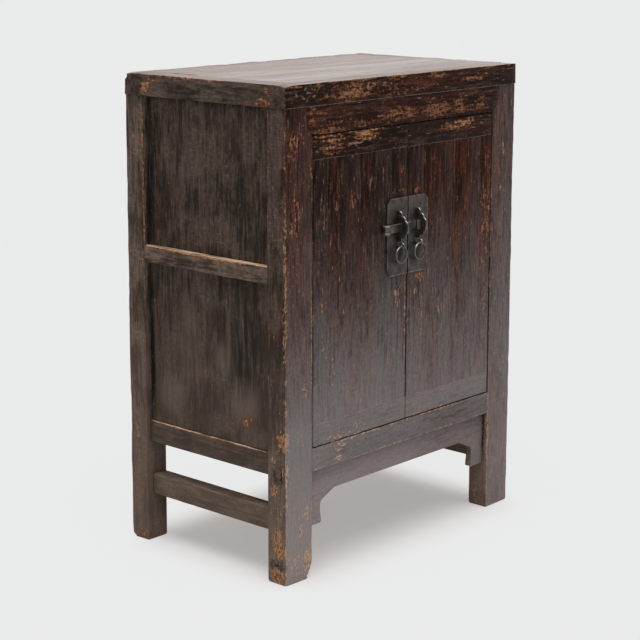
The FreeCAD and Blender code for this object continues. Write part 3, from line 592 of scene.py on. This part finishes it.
POST_WEAR = [
    ((-252, -182, 430), (2.5, 9, 150), 2.2), ((252, -180, 150), (5, 5, 60), 1.8),
    ((-300, -182, 756), (18, 9, 34), 1.5), ((-295, -182, 654), (18, 9, 23), 1.1),
    ((-294, -182, 620), (17, 9, 24), 1.45), ((-272, -182, 784), (23, 9, 36), 0.75),
    ((-285, -182, 700), (34, 9, 40), 0.6), ((-294, -182, 551), (23, 9, 64), 0.8),
    ((-269, -182, 343), (8, 9, 22), 1.3), ((-266, -182, 122), (14, 9, 18), 1.75),
    ((-280, -182, 98), (7, 9, 30), 1.75), ((-259, -182, 36), (15, 9, 40), 2.1),
    ((-286, -182, 28), (40, 9, 40), 1.3), ((-254, -182, 732), (8, 9, 42), 1.1),
    ((-318, -175, 256), (9, 16, 26), 2.30), ((-318, -156, 222), (9, 16, 11), 1.26),
    ((-318, -179, 202), (9, 10, 24), 1.61), ((-318, -155, 168), (9, 15, 18), 1.61),
    ((-318, -162, 76), (9, 15, 35), 2.30), ((-318, -172, 63), (9, 16, 18), 1.95),
    ((-318, -164, 12), (9, 27, 22), 2.30), ((-318, -162, 126), (9, 21, 21), 0.80),
    ((-317, -182, 480), (4, 9, 240), 1.25), ((-314, -182, 170), (6, 9, 160), 0.9),
    ((287, -182, 700), (5, 9, 24), 1.4), ((280, -182, 624), (5, 9, 18), 1.1),
    ((317, -182, 77), (7, 9, 16), 1.6), ((306, -182, 115), (10, 9, 7), 1.0),
    ((316, -182, 420), (5, 9, 120), 0.8),
    ((318, -160, 90), (9, 16, 60), 1.1), ((318, -172, 300), (9, 8, 90), 0.9),
    ((318, -160, 14), (9, 22, 18), 1.3), ((252, -160, 20), (9, 18, 26), 0.9),
    ((-252, -160, 24), (9, 18, 30), 0.9), ((285, -182, 400), (50, 9, 420), 0.25),
]
DOOR_WEAR = [
    ((-13, -182, 693), (7, 9, 15), 1.08), ((-11, -182, 654), (16, 9, 7), 1.6),
    ((-191, -182, 655), (8, 9, 29), 0.90), ((-144, -182, 654), (15, 9, 25), 0.94),
    ((-181, -182, 697), (11, 9, 24), 0.65), ((-221, -182, 616), (8, 9, 13), 0.94),
    ((-235, -182, 546), (9, 9, 22), 0.86), ((-221, -182, 478), (14, 9, 17), 1.30),
    ((-170, -182, 457), (7, 9, 49), 1.01), ((-26, -182, 466), (14, 9, 26), 1.6),
    ((-84, -182, 439), (14, 9, 14), 0.86), ((-227, -182, 411), (10, 9, 15), 1.01),
    ((-220, -182, 380), (11, 9, 13), 0.86), ((-200, -182, 363), (8, 9, 33), 1.04),
    ((-144, -182, 341), (8, 9, 19), 1.08), ((29, -182, 650), (13, 9, 9), 1.7),
    ((238, -182, 685), (20, 9, 38), 0.86), ((234, -182, 611), (28, 9, 44), 1.08),
    ((233, -182, 554), (24, 9, 30), 1.15), ((75, -182, 700), (11, 9, 17), 0.65),
    ((40, -182, 490), (20, 9, 15), 1.55), ((26, -182, 465), (9, 9, 10), 1.5),
    ((24, -182, 437), (5, 9, 10), 1.01), ((43, -182, 414), (11, 9, 64), 1.08),
    ((100, -182, 423), (24, 9, 13), 0.94), ((233, -182, 489), (18, 9, 53), 0.94),
    ((234, -182, 413), (16, 9, 45), 1.04), ((232, -182, 348), (10, 9, 42), 0.72),
    ((-225, -182, 610), (22, 9, 64), 0.40), ((66, -182, 576), (22, 9, 74), 0.36),
    ((-4, -182, 420), (3, 9, 150), 1.35), ((0, -182, 560), (260, 9, 330), 0.14),
]
SILL_WEAR = [
    ((-183, -182, 221), (25, 9, 12), 1.6), ((-184, -182, 201), (13, 9, 8), 1.5),
    ((-240, -182, 191), (11, 9, 8), 1.2), ((-95, -182, 231), (120, 9, 4), 1.5),
    ((110, -182, 231), (110, 9, 3), 1.0), ((0, -182, 191), (240, 9, 3.5), 1.5),
]
APRON_WEAR = [
    ((-60, -170, 190), (50, 9, 4), 0.6), ((210, -170, 92), (30, 9, 5), 0.8),
    ((-230, -170, 92), (30, 9, 6), 0.8),
]
REAR_POST_WEAR = [
    ((-318, 182, 9), (9, 17, 11), 1.8), ((-318, 183, 120), (9, 26, 48), 1.05),
    ((-318, 166, 742), (9, 8, 17), 1.6), ((-318, 158, 48), (9, 8, 28), 1.0),
    ((-318, 163, 640), (3, 2, 170), 2.2), ((318, 180, 12), (9, 24, 14), 1.3),
    ((318, 190, 300), (9, 12, 90), 0.9), ((-300, 206, 14), (22, 9, 16), 1.3),
    ((300, 206, 14), (22, 9, 16), 1.3), ((-300, 206, 420), (12, 9, 120), 0.9),
    ((-318, 200, 60), (9, 8, 60), 0.8),
]
TOP_SIDE_WEAR = [
    ((-320, 147, 848), (9, 29, 11), 1.9), ((-320, 155, 834), (9, 16, 11), 1.9),
    ((-320, -133, 830), (9, 24, 12), 1.9), ((-320, -145, 850), (9, 17, 13), 1.5),
    ((-320, 66, 851), (9, 25, 9), 0.8), ((320, -120, 836), (9, 26, 10), 1.5),
    ((320, 150, 846), (9, 14, 12), 1.2), ((-320, 20, 859), (9, 170, 4), 1.3),
    ((320, 40, 859), (9, 150, 4), 1.1),
]
PANEL_WEAR = [((-306, -77, 275), (9, 29, 19), 1.35), ((306, 70, 600), (9, 18, 24), 0.9)]
RAIL_WEAR = [
    ((-318, 10, 554), (9, 200, 5), 2.8), ((-318, 20, 552), (9, 110, 6), 1.6),
    ((-310, 0, 228), (9, 190, 3), 1.9), ((318, 10, 554), (9, 170, 5), 1.2),
    ((310, 0, 228), (9, 170, 4), 1.0),
]

# On the front, these spots add to the painted reflection of the floor, and take from it where their strength
# is below 0; on the side panels they are pale smudges.
POST_PALES = [
    ((285, -182, 660), (60, 20, 260), 0.24), ((285, -182, 120), (60, 20, 240), -0.3),
    ((-285, -182, 600), (60, 20, 330), 0.08), ((-285, -182, 400), (60, 20, 150), -0.13),
    ((-292, -182, 120), (40, 20, 170), 0.3),
]
PANEL_PALES = [
    ((-306, -24, 374), (20, 28, 36), 0.55), ((-306, -75, 305), (20, 38, 50), 0.6),
    ((-306, 111, 285), (20, 50, 46), 0.4), ((-306, 66, 380), (20, 34, 90), 0.25),
    ((306, -30, 330), (20, 50, 60), 0.4), ((306, 80, 660), (20, 40, 80), 0.3),
]
DOOR_PALES = [((170, -182, 320), (130, 20, 150), -0.09), ((-150, -182, 300), (120, 20, 110), 0.06)]
SILL_PALES = [((200, -176, 170), (190, 20, 130), -0.24), ((-20, -182, 212), (260, 9, 34), -0.2)]

POST_RED = [
    ((-285, -182, 640), (60, 20, 230), 0.75), ((-285, -182, 430), (60, 20, 160), 0.55),
    ((285, -182, 640), (60, 20, 230), 0.9),
]
DOOR_RED = [
    ((170, -182, 640), (150, 20, 200), 0.6), ((235, -182, 600), (30, 20, 190), 0.6),
    ((150, -182, 420), (130, 20, 150), 0.45), ((-120, -182, 540), (60, 20, 120), 0.2),
]
FRAME_RED = [((10, -184, 836), (190, 20, 22), 0.6), ((-130, -184, 842), (70, 20, 20), 0.5)]
LINTEL_RED = [((0, -182, 800), (300, 20, 60), 0.35)]

FRAME_DARK = [((-252, -184, 838), (46, 20, 20), 1.1)]
# Dark patches on the front posts: painted shade in the corner by the apron, with stains.
POST_DARK = [
    ((252, -171, 160), (6, 6, 60), 1.6), ((-285, -183, 806), (60, 9, 26), 0.55),
    ((-318, -166, 199), (9, 20, 26), 1.1), ((-318, -162, 34), (9, 22, 13), 1.0),
]
# Painted shadows along the edges of the left iron plate.
DOOR_SHADOWS = [((-60, -182, 572), (3, 9, 82), 1.3), ((-30, -182, 645), (34, 9, 3), 0.7)]
# Painted shade in the reveal between the rear post and the side panel.
REAR_POST_SHADE = [((-309, 162, 660), (7, 2.4, 180), 2.2), ((-309, 162, 370), (7, 2.4, 170), 2.2)]
# Painted shade at the panels' rear edges and under the top rail, with stains.
PANEL_DARK = [
    ((-306, 164, 690), (20, 15, 160), 2.3), ((-306, 164, 370), (20, 15, 170), 2.0),
    ((-306, 10, 822), (20, 170, 14), 1.2), ((-306, -68, 400), (20, 50, 110), 1.0),
    ((-306, -60, 640), (20, 30, 90), 0.5), ((306, 60, 420), (20, 60, 90), 0.8),
]
# Painted shadows of the rings and lugs on the face plates.
PLATE_SHADOWS = [
    ((-32, -184, 540), (22, 9, 24), 0.68), ((21, -184, 540), (22, 9, 24), 0.68),
    ((-34, -184, 592), (12, 9, 36), 0.5), ((31, -184, 592), (9, 9, 36), 0.3),
]
FRAME_FLECKS = [((-270, -184, 842), (60, 20, 20), 0.55), ((-100, -184, 845), (90, 20, 12), 0.4)]

# Each row: the finish's name, words in the names of its nodes, its grain, and how it is made.
FINISHES = [
    ("lintel", ("front_lintel",), ACROSS, front_finish,
     {"wear": LINTEL_WEAR, "reds": LINTEL_RED, "red": 0.1, "edges": 0.6, "seams": 0.8, "bare": 0.3}),
    ("top_front", ("top_frame_front",), ACROSS, front_finish,
     {"wear": FRAME_WEAR, "reds": FRAME_RED, "shade_and_stains": FRAME_DARK, "flecks": FRAME_FLECKS, "seams": 0.9,
      "bare": 0.5, "top": True}),
    ("door_top", ("_top_cap",), ACROSS, front_finish, {"wear": TOP_CAP_WEAR, "edges": -0.9, "seams": 0.7}),
    ("door_bottom", ("_bottom_cap",), ACROSS, front_finish, {"wear": BOTTOM_CAP_WEAR, "edges": -0.9}),
    ("door", ("_stile", "_board_inner", "_board_outer"), UP, front_finish,
     {"wear": DOOR_WEAR, "shade_and_stains": DOOR_SHADOWS, "reds": DOOR_RED, "pales": DOOR_PALES, "edges": -0.9,
      "seams": 0.3, "bare": 0.8, "scrapes": 0.6}),
    ("front_post", ("post_front",), UP, front_finish,
     {"wear": POST_WEAR, "shade_and_stains": POST_DARK, "pales": POST_PALES, "reds": POST_RED, "red": 0.3,
      "haze": 1.08}),
    ("sill", ("front_sill",), ACROSS, front_finish, {"wear": SILL_WEAR, "pales": SILL_PALES, "seams": 0.75}),
    ("apron", ("front_apron",), ACROSS, front_finish,
     {"wear": APRON_WEAR, "pales": SILL_PALES, "red": 0.15, "haze": 1.05}),
    ("rear_post", ("post_rear",), UP, side_finish,
     {"wear": REAR_POST_WEAR, "shade_and_stains": REAR_POST_SHADE, "light": 1.5}),
    ("side_panel", ("side_panel",), UP, side_finish,
     {"wear": PANEL_WEAR, "shade_and_stains": PANEL_DARK, "pales": PANEL_PALES, "edges": 0.0}),
    ("middle_rail", ("side_middle_rail",), DEEP, side_finish,
     {"wear": RAIL_WEAR, "ledge": 0.95, "light": 1.65}),
    ("bottom_rail", ("side_bottom_rail",), DEEP, side_finish,
     {"wear": RAIL_WEAR, "ledge": 0.85, "light": 0.95}),
    ("stretcher", ("side_stretcher",), DEEP, side_finish, {"ledge": 0.15, "light": 1.45}),
    ("top_side", ("top_frame_left", "top_frame_right"), DEEP, side_finish,
     {"wear": TOP_SIDE_WEAR, "light": 1.2, "top": True}),
    ("top_rear", ("top_frame_rear",), ACROSS, side_finish, {"wear": TOP_SIDE_WEAR, "top": True}),
    ("top", ("top_board",), ACROSS, top_finish, {}),
    ("back_panel", ("rear_panel",), UP, inside_finish, {}),
    ("bare_deep", ("top_brace",), DEEP, inside_finish, {}),
    ("bare_across", ("floor_board", "shelf_board", "rear_middle_rail", "rear_bottom_rail"), ACROSS,
     inside_finish, {}),
]
made_finishes = {}


def finish_for(node):
    """The node's finish and grain."""
    for name, words, grain, make, settings in FINISHES:
        if any(word in node for word in words):
            if name not in made_finishes:
                made_finishes[name] = make(name + "_wood", grain, **settings)
            return made_finishes[name], grain
    raise ValueError(f"no finish for {node}")


# Shaping. Sizes in named values and tables are in millimetres, and angles in degrees.

MERGE_DISTANCE = 0.01
SLIVER = 0.001
CUT_SNAP = 0.001
FLAT_WITHIN = 0.6
SHARP_FROM = 30
SMOOTH_UNDER = 35
FAR = 5000


def merged(node):
    """A copy of a CAD node's shape with its doubles merged and its flat faces whole."""
    shape = bmesh.new()
    shape.from_mesh(frame["nodes"][node].data)
    bmesh.ops.remove_doubles(shape, verts=shape.verts, dist=MERGE_DISTANCE * MM)
    bmesh.ops.dissolve_limit(
        shape, angle_limit=math.radians(FLAT_WITHIN), use_dissolve_boundaries=False, verts=shape.verts,
        edges=shape.edges,
    )
    return shape


def sharp_edges(shape, angle=SHARP_FROM):
    return [
        edge for edge in shape.edges
        if edge.is_manifold and edge.is_convex and edge.calc_face_angle(0) > math.radians(angle)
    ]


def ease_edges(shape, edges, ease):
    bmesh.ops.bevel(
        shape, geom=edges, offset=ease * MM, offset_type="OFFSET", segments=2, profile=0.5, affect="EDGES",
        clamp_overlap=True, material=-1,
    )


def cut(shape, axis, place, geometry=None):
    """Cuts a shape, or only some of it, by the plane across an axis at a place, in metres."""
    if geometry is None:
        geometry = shape.verts[:] + shape.edges[:] + shape.faces[:]
    point = Vector((0, 0, 0))
    point[axis] = place
    normal = Vector((0, 0, 0))
    normal[axis] = 1
    bmesh.ops.bisect_plane(shape, geom=geometry, dist=CUT_SNAP * MM, plane_co=point, plane_no=normal)


def cross_cut(shape, axis, spacing, seed):
    """Cuts a shape across an axis at uneven places, so that it can wear unevenly."""
    draw = random.Random(seed)
    low = min(vert.co[axis] for vert in shape.verts)
    high = max(vert.co[axis] for vert in shape.verts)
    spacing *= MM
    place = low + spacing * draw.uniform(0.4, 0.8)
    while place < high - 0.3 * spacing:
        cut(shape, axis, place)
        place += spacing * draw.uniform(0.6, 1.4)


body_of = {node: body for body, nodes in frame["record"]["behaviour"]["bodies"].items() for node in nodes}
slot_of = {item["node"]: item["material_slot"] for item in frame["record"]["subparts"]}


def add_piece(name, shape, material, node):
    """Makes an object of a shape. It has its finish, rides on its node's body and stands for the node."""
    bmesh.ops.dissolve_degenerate(shape, dist=SLIVER * MM, edges=shape.edges)
    mesh = bpy.data.meshes.new(name)
    shape.to_mesh(mesh)
    shape.free()
    mesh.materials.append(material)
    for face in mesh.polygons:
        face.use_smooth = True
    mesh.set_sharp_from_angle(angle=math.radians(SMOOTH_UNDER))
    piece = put_in_scene(name, mesh)
    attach(piece, body_of[node])
    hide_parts(node)
    return piece


def note(piece, name, value):
    """Stores a vector on a piece's mesh, for its finish to read."""
    layer = piece.data.attributes.new(name, "FLOAT_VECTOR", "POINT")
    for item in layer.data:
        item.vector = value


def note_box(piece, word, low, high):
    note(piece, word + "_low", low)
    note(piece, word + "_high", high)


# Wood pieces

# The sides of each piece whose arrises are rubbed; the others keep their lacquer.
RUBBED = {
    "post_front_left": "x- x+ y- z-", "post_front_right": "x- x+ y- z-",
    "post_rear_left": "x- y- y+ z-", "post_rear_right": "x+ y- y+ z-",
    "top_frame_front": "x- x+ y- z+", "top_frame_rear": "x- x+ y+ z+",
    "top_frame_left": "x- z+", "top_frame_right": "x+ z+",
    "front_lintel": "y- z-", "front_sill": "y- z+ z-",
    "door_left_top_cap": "x- y- z+", "door_right_top_cap": "x+ y- z+",
    "door_left_bottom_cap": "x- y- z-", "door_right_bottom_cap": "x+ y- z-",
    "door_left_hinge_stile": "x- y-", "door_right_hinge_stile": "x+ y-",
    "door_left_meeting_stile": "x+ y-", "door_right_meeting_stile": "x- y-",
    "side_middle_rail_left": "x- z+", "side_middle_rail_right": "x+ z+",
    "side_bottom_rail_left": "x- z+", "side_bottom_rail_right": "x+ z+",
    "side_stretcher_left": "x- z+ z-", "side_stretcher_right": "x+ z+ z-",
    "shelf_board_front": "y- z+",
}
# The sides at which each piece meets its neighbour in a joint that shows.
JOINTS = {
    "front_lintel": "x- x+ z+", "top_frame_front": "z-",
    "top_frame_left": "y- y+", "top_frame_right": "y- y+",
    "front_sill": "z-", "post_front_left": "z+", "post_front_right": "z+",
    "door_left_top_cap": "z-", "door_right_top_cap": "z-",
    "door_left_bottom_cap": "z+", "door_right_bottom_cap": "z+",
    "door_left_hinge_stile": "x+", "door_right_hinge_stile": "x-",
    "door_left_meeting_stile": "x-", "door_right_meeting_stile": "x+",
    "door_left_board_outer": "x+", "door_right_board_outer": "x-",
    "top_board_front": "y- y+", "top_board_rear": "y- y+",
}
# Splinters broken from corners. Each row: centre, reach and push.
CHIPS = {
    "post_front_left": [
        ((-251.5, -182, 4), (13, 20, 24), (-8, 2.5, 3)), ((-318.5, -182, 0), (7, 7, 7), (1.4, 1.4, 0.6)),
    ],
    "top_frame_front": [
        ((-320, -183.5, 860), (20, 16, 13), (1.2, 1.0, -2.4)),
        ((-320, -183.5, 860), (6, 5, 9), (1.4, 1.0, -3.4)), ((-292, -183.5, 860), (6, 3, 4), (0, 1, -1.2)),
    ],
    "top_frame_rear": [((-320, 206, 860), (12, 12, 12), (2.8, -2.8, -3.2))],
    "post_rear_left": [((-318.5, 206, 0), (9, 9, 9), (2.5, -2.5, 2))],
}
# Words in the names of nodes, with how far their edges are eased and how deep they are worn.
EASES = {
    "side_middle": (2.6, 1.0), "post_": (1.6, 1.4), "top_frame": (1.8, 1.6), "side_": (0.9, 0.8),
    "_board": (0.35, 0.1), "_panel": (0.6, 0.2),
}
OTHER_EASES = (0.6, 0.5)
CUT_SPACING = 14
WEAR_REACH = 4.0
FOOT_HEIGHT = 5.5
FOOT_DRAW_IN = 2.5
FOOT_CUTS = (0.05, 0.15, 0.3, 0.5, 0.75)
CHIP_CUTS = (-1, -0.6, -0.25, 0.1, 0.45, 0.8)
TOP_LEVEL = 859.5
TOP_HALF_WIDTH = 318.5
TOP_FRONT, TOP_REAR = -183, 205.5


def side_box(table, node, low, high):
    """The piece's box, with the sides that the table doesn't name for it moved far away."""
    sides = table.get(node, "").split()
    low = [value if letter + "-" in sides else value - FAR * MM for letter, value in zip("xyz", low)]
    high = [value if letter + "+" in sides else value + FAR * MM for letter, value in zip("xyz", high)]
    return Vector(low), Vector(high)


def in_top(edge):
    """True for an arris between two boards of the top, which are flush."""
    x, y, z = (edge.verts[0].co + edge.verts[1].co) / 2
    return z > TOP_LEVEL * MM and abs(x) < TOP_HALF_WIDTH * MM and TOP_FRONT * MM < y < TOP_REAR * MM


def wear_edges(shape, low, high, depth, seed):
    """Pushes the surface in near the edges of a box, by an uneven depth."""
    middle = (low + high) / 2
    reach = WEAR_REACH * MM
    for vert in shape.verts:
        inside = [min(vert.co[i] - low[i], high[i] - vert.co[i]) for i in range(3)]
        near = sorted(inside)[1]
        if near > reach:
            continue
        quick = noise.noise(vert.co * 55 + Vector((seed * 3.7, 0, 0)))
        slow = noise.noise(vert.co * 14 + Vector((0, seed * 1.9, 0)))
        amount = depth * MM * max(0.0, 0.35 + 0.5 * quick + 0.4 * slow) * (1 - near / reach)
        for i in range(3):
            if inside[i] < reach:
                vert.co[i] += amount if vert.co[i] < middle[i] else -amount


def round_foot(shape, low, high):
    """Rounds the foot of a post that has been pushed over floors."""
    middle = (low + high) / 2
    for level in FOOT_CUTS:
        cut(shape, 2, low.z + level * FOOT_HEIGHT * MM)
    for vert in shape.verts:
        rise = (vert.co.z - low.z) / (FOOT_HEIGHT * MM)
        if rise < 1:
            uneven = 0.8 + noise.noise(vert.co * 40)
            draw_in = FOOT_DRAW_IN * MM * (1 - math.sqrt(1 - (1 - rise) ** 2)) * uneven
            for i in (0, 1):
                vert.co[i] -= draw_in * ((vert.co[i] - middle[i]) / (high[i] - middle[i]))


def chip(shape, centre, reach, push):
    """Breaks a splinter away at a corner."""
    centre, reach, push = Vector(centre) * MM, Vector(reach) * MM, Vector(push) * MM
    for axis in range(3):
        for share in CHIP_CUTS:
            near = [
                face for face in shape.faces
                if all(
                    min(vert.co[i] for vert in face.verts) < centre[i] + reach[i]
                    and max(vert.co[i] for vert in face.verts) > centre[i] - reach[i] for i in range(3)
                )
            ]
            edges = list({edge: 0 for face in near for edge in face.edges})
            verts = list({vert: 0 for face in near for vert in face.verts})
            cut(shape, axis, centre[axis] + share * reach[axis], verts + edges + near)
    for vert in shape.verts:
        away = vert.co - centre
        distance = Vector(away[i] / reach[i] for i in range(3)).length
        if distance < 1:
            vert.co += push * min(1, 1.6 * (1 - distance)) * (0.8 + 0.6 * noise.noise(vert.co * 160))


def dress_wood(node, ease, depth):
    """A worn copy of a wooden node, with eased edges."""
    material, grain = finish_for(node)
    seed = sum(map(ord, node))
    low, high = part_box(node)
    shape = merged(node)
    cross_cut(shape, GRAIN_AXIS[grain], CUT_SPACING, seed)
    ease_edges(shape, [edge for edge in sharp_edges(shape) if not in_top(edge)], ease)
    rubbed_box = side_box(RUBBED, node, low, high)
    worn_low, worn_high = rubbed_box if node in RUBBED else (low, high)
    wear_edges(shape, worn_low, worn_high, depth, seed)
    if node.startswith("post_"):
        round_foot(shape, low, high)
    for centre, reach, push in CHIPS.get(node, ()):
        chip(shape, centre, reach, push)
    piece = add_piece(node + "_worn", shape, material, node)
    note_box(piece, "joint", *side_box(JOINTS, node, low, high))
    note_box(piece, "wear", *rubbed_box)
    draw = random.Random(seed)
    note(piece, "piece_shift", [draw.uniform(-3, 3) for _ in range(3)])


for node, slot in slot_of.items():
    if slot != "iron":
        ease, depth = next((sizes for word, sizes in EASES.items() if word in node), OTHER_EASES)
        dress_wood(node, ease, depth)


# Ironwork

HEAD_RADIUS = 6.7
HEAD_CUTS = 12
PLATE_CUTS = 4.0
PLATE_DENTS = 0.35
PLATE_SEED = 7
IRON_EASE = 0.6
COTTER_EASE = 0.3
COTTER_SHARP_FROM = 50
BAR_EASE = 0.7
WIRE_SIDES = 20
RING_STEPS = 56

plate_iron = forged_iron("plate_iron", 1.3, shade_and_stains=PLATE_SHADOWS)
lug_iron = forged_iron("lug_iron", 1.7, smooth=0.16, rim=0.7)
ring_iron = forged_iron("ring_iron", 2.3, smooth=0.18, rim=0.5, rim_from=0.541)
bar_iron = forged_iron("bar_iron", 1.9, smooth=0.18, rim=0.85)


def dent_face(shape, low, high):
    """Hammers the front face of a plate, inside its eased edges."""
    for axis in (0, 2):
        cross_cut(shape, axis, PLATE_CUTS, PLATE_SEED)
    for vert in shape.verts:
        inside = min(min(vert.co[i] - low[i], high[i] - vert.co[i]) for i in (0, 2))
        if inside > IRON_EASE * MM and vert.co.y < low.y + 0.5 * MM:
            vert.co.y += PLATE_DENTS * MM * (0.5 + noise.noise(vert.co * 90))


def roll_waist(shape, low, high):
    """Draws in the waist of the bar's rolled head, between its flared rims."""
    radius = HEAD_RADIUS * MM
    axis = Vector((low.x + radius, low.y + radius, 0))
    for step in range(1, HEAD_CUTS):
        cut(shape, 2, low.z + (high.z - low.z) * step / HEAD_CUTS)
    for vert in shape.verts:
        out = vert.co - axis
        out.z = 0
        if out.length < radius * 1.04 and out.x < radius * 0.6:
            along = abs(2 * (vert.co.z - low.z) / (high.z - low.z) - 1)
            draw_in = 0.24 * (1 - min(1, along / 0.72) ** 3)
            vert.co.x -= out.x * draw_in
            vert.co.y -= out.y * draw_in


def dress_iron(node, finish, ease=IRON_EASE, angle=SHARP_FROM, shape_more=None):
    """A forged copy of an iron node, with eased edges and what shape_more does to it."""
    low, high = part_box(node)
    shape = merged(node)
    ease_edges(shape, sharp_edges(shape, angle), ease)
    if shape_more:
        shape_more(shape, low, high)
    piece = add_piece(node + "_forged", shape, finish, node)
    note_box(piece, "piece", low, high)


def dress_ring(node):
    """A ring bent from round wire, a little uneven, in the place of the CAD ring."""
    low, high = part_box(node)
    middle = (low + high) / 2
    wire = (high.y - low.y) / 2
    radius = (high.z - low.z) / 2 - wire
    shape = bmesh.new()
    start = Matrix.Translation(middle + Vector((0, 0, radius))) @ Matrix.Rotation(math.radians(90), 4, "Y")
    bmesh.ops.create_circle(shape, radius=wire, segments=WIRE_SIDES, matrix=start)
    bmesh.ops.spin(
        shape, geom=shape.verts[:] + shape.edges[:], cent=middle, axis=(0, 1, 0), angle=math.tau,
        steps=RING_STEPS, use_merge=True,
    )
    bmesh.ops.remove_doubles(shape, verts=shape.verts, dist=SLIVER * MM)
    bmesh.ops.recalc_face_normals(shape, faces=shape.faces)
    for vert in shape.verts:
        out = (vert.co - middle) * Vector((1, 0, 1))
        core = middle + out.normalized() * radius
        vert.co = core + (vert.co - core) * (0.93 + 0.1 * noise.noise(core * 60))
    piece = add_piece(node + "_forged", shape, ring_iron, node)
    note_box(piece, "piece", *side_box({}, node, low, high))


for side in ("left", "right"):
    dress_iron("face_plate_" + side, plate_iron, shape_more=dent_face)
    dress_iron("lug_" + side, lug_iron)
    dress_iron("cotter_" + side, ring_iron, COTTER_EASE, COTTER_SHARP_FROM)
    dress_ring("ring_" + side)
dress_iron("lock_bar", bar_iron, BAR_EASE, shape_more=roll_waist)


# Floor, in metres. It shows the pale background, and less of it near the cabinet, where its shadow falls.

FLOOR_RADIUS = 60
FLOOR_SIDES = 96
FLOOR_COLOUR = (0.787, 0.81, 0.825)
NEAR_GLOW = (0.84, 0.8, 0.775)
OPEN_GLOW = (0.828, 0.831, 0.831)
NEAR_SHARE, OPEN_SHARE = 0.39, 0.95
NEAR_HALF_SIZES = (0.25, 0.13, 0)
OPEN_FROM = 0.13

floor_shape = bmesh.new()
bmesh.ops.create_circle(floor_shape, cap_ends=True, radius=FLOOR_RADIUS, segments=FLOOR_SIDES)
floor_mesh = bpy.data.meshes.new("floor")
floor_shape.to_mesh(floor_mesh)
floor_shape.free()
put_in_scene("floor", floor_mesh)

pale_floor = Finish("pale_floor")
beyond = pale_floor.vector("SUBTRACT", pale_floor.vector("ABSOLUTE", pale_floor.place), NEAR_HALF_SIZES)
beyond = pale_floor.vector("LENGTH", pale_floor.vector("MAXIMUM", beyond, (0, 0, 0)), output="Value")
open_floor = pale_floor.ramp(beyond, 0.0, OPEN_FROM)
glow = pale_floor.mix(open_floor, NEAR_GLOW, OPEN_GLOW)
glow = pale_floor.node("ShaderNodeEmission", {"Color": glow, "Strength": 1.0}).outputs[0]
pale_floor.finish(base_color=FLOOR_COLOUR, roughness=0.9, specular_ior_level=0.0)
share = pale_floor.times(pale_floor.background_rays(), pale_floor.blend(open_floor, NEAR_SHARE, OPEN_SHARE))
both = pale_floor.node("ShaderNodeMixShader", {0: share, 1: pale_floor.shader.outputs[0], 2: glow})
pale_floor.fill(pale_floor.tree.nodes["Material Output"].inputs["Surface"], both.outputs[0])
floor_mesh.materials.append(pale_floor.material)


# Light: an even sky, which the camera sees paler than it shines, and a wide lamp. Angles are in degrees.

SKY_COLOUR = (1, 1, 1)
SKY_STRENGTH = 0.42
SKY_SHOWN_MORE = 0.5
LAMP_STRENGTH = 1.72
LAMP_WIDTH = 45
LAMP_TILT = 15
LAMP_TURN = 225

world = bpy.data.worlds.new("studio")
bpy.context.scene.world = world
world.use_nodes = True
sky = Nodes(world.node_tree)
background = world.node_tree.nodes["Background"]
sky.fill(background.inputs["Color"], SKY_COLOUR)
strength = sky.add(sky.times(sky.background_rays(), SKY_SHOWN_MORE), SKY_STRENGTH)
sky.fill(background.inputs["Strength"], strength)

lamp_data = bpy.data.lights.new("overhead", "SUN")
lamp_data.energy = LAMP_STRENGTH
lamp_data.angle = math.radians(LAMP_WIDTH)
lamp = put_in_scene("overhead", lamp_data)
lamp.rotation_euler = (0, math.radians(LAMP_TILT), math.radians(LAMP_TURN))

bpy.context.scene.view_settings.view_transform = "Standard"
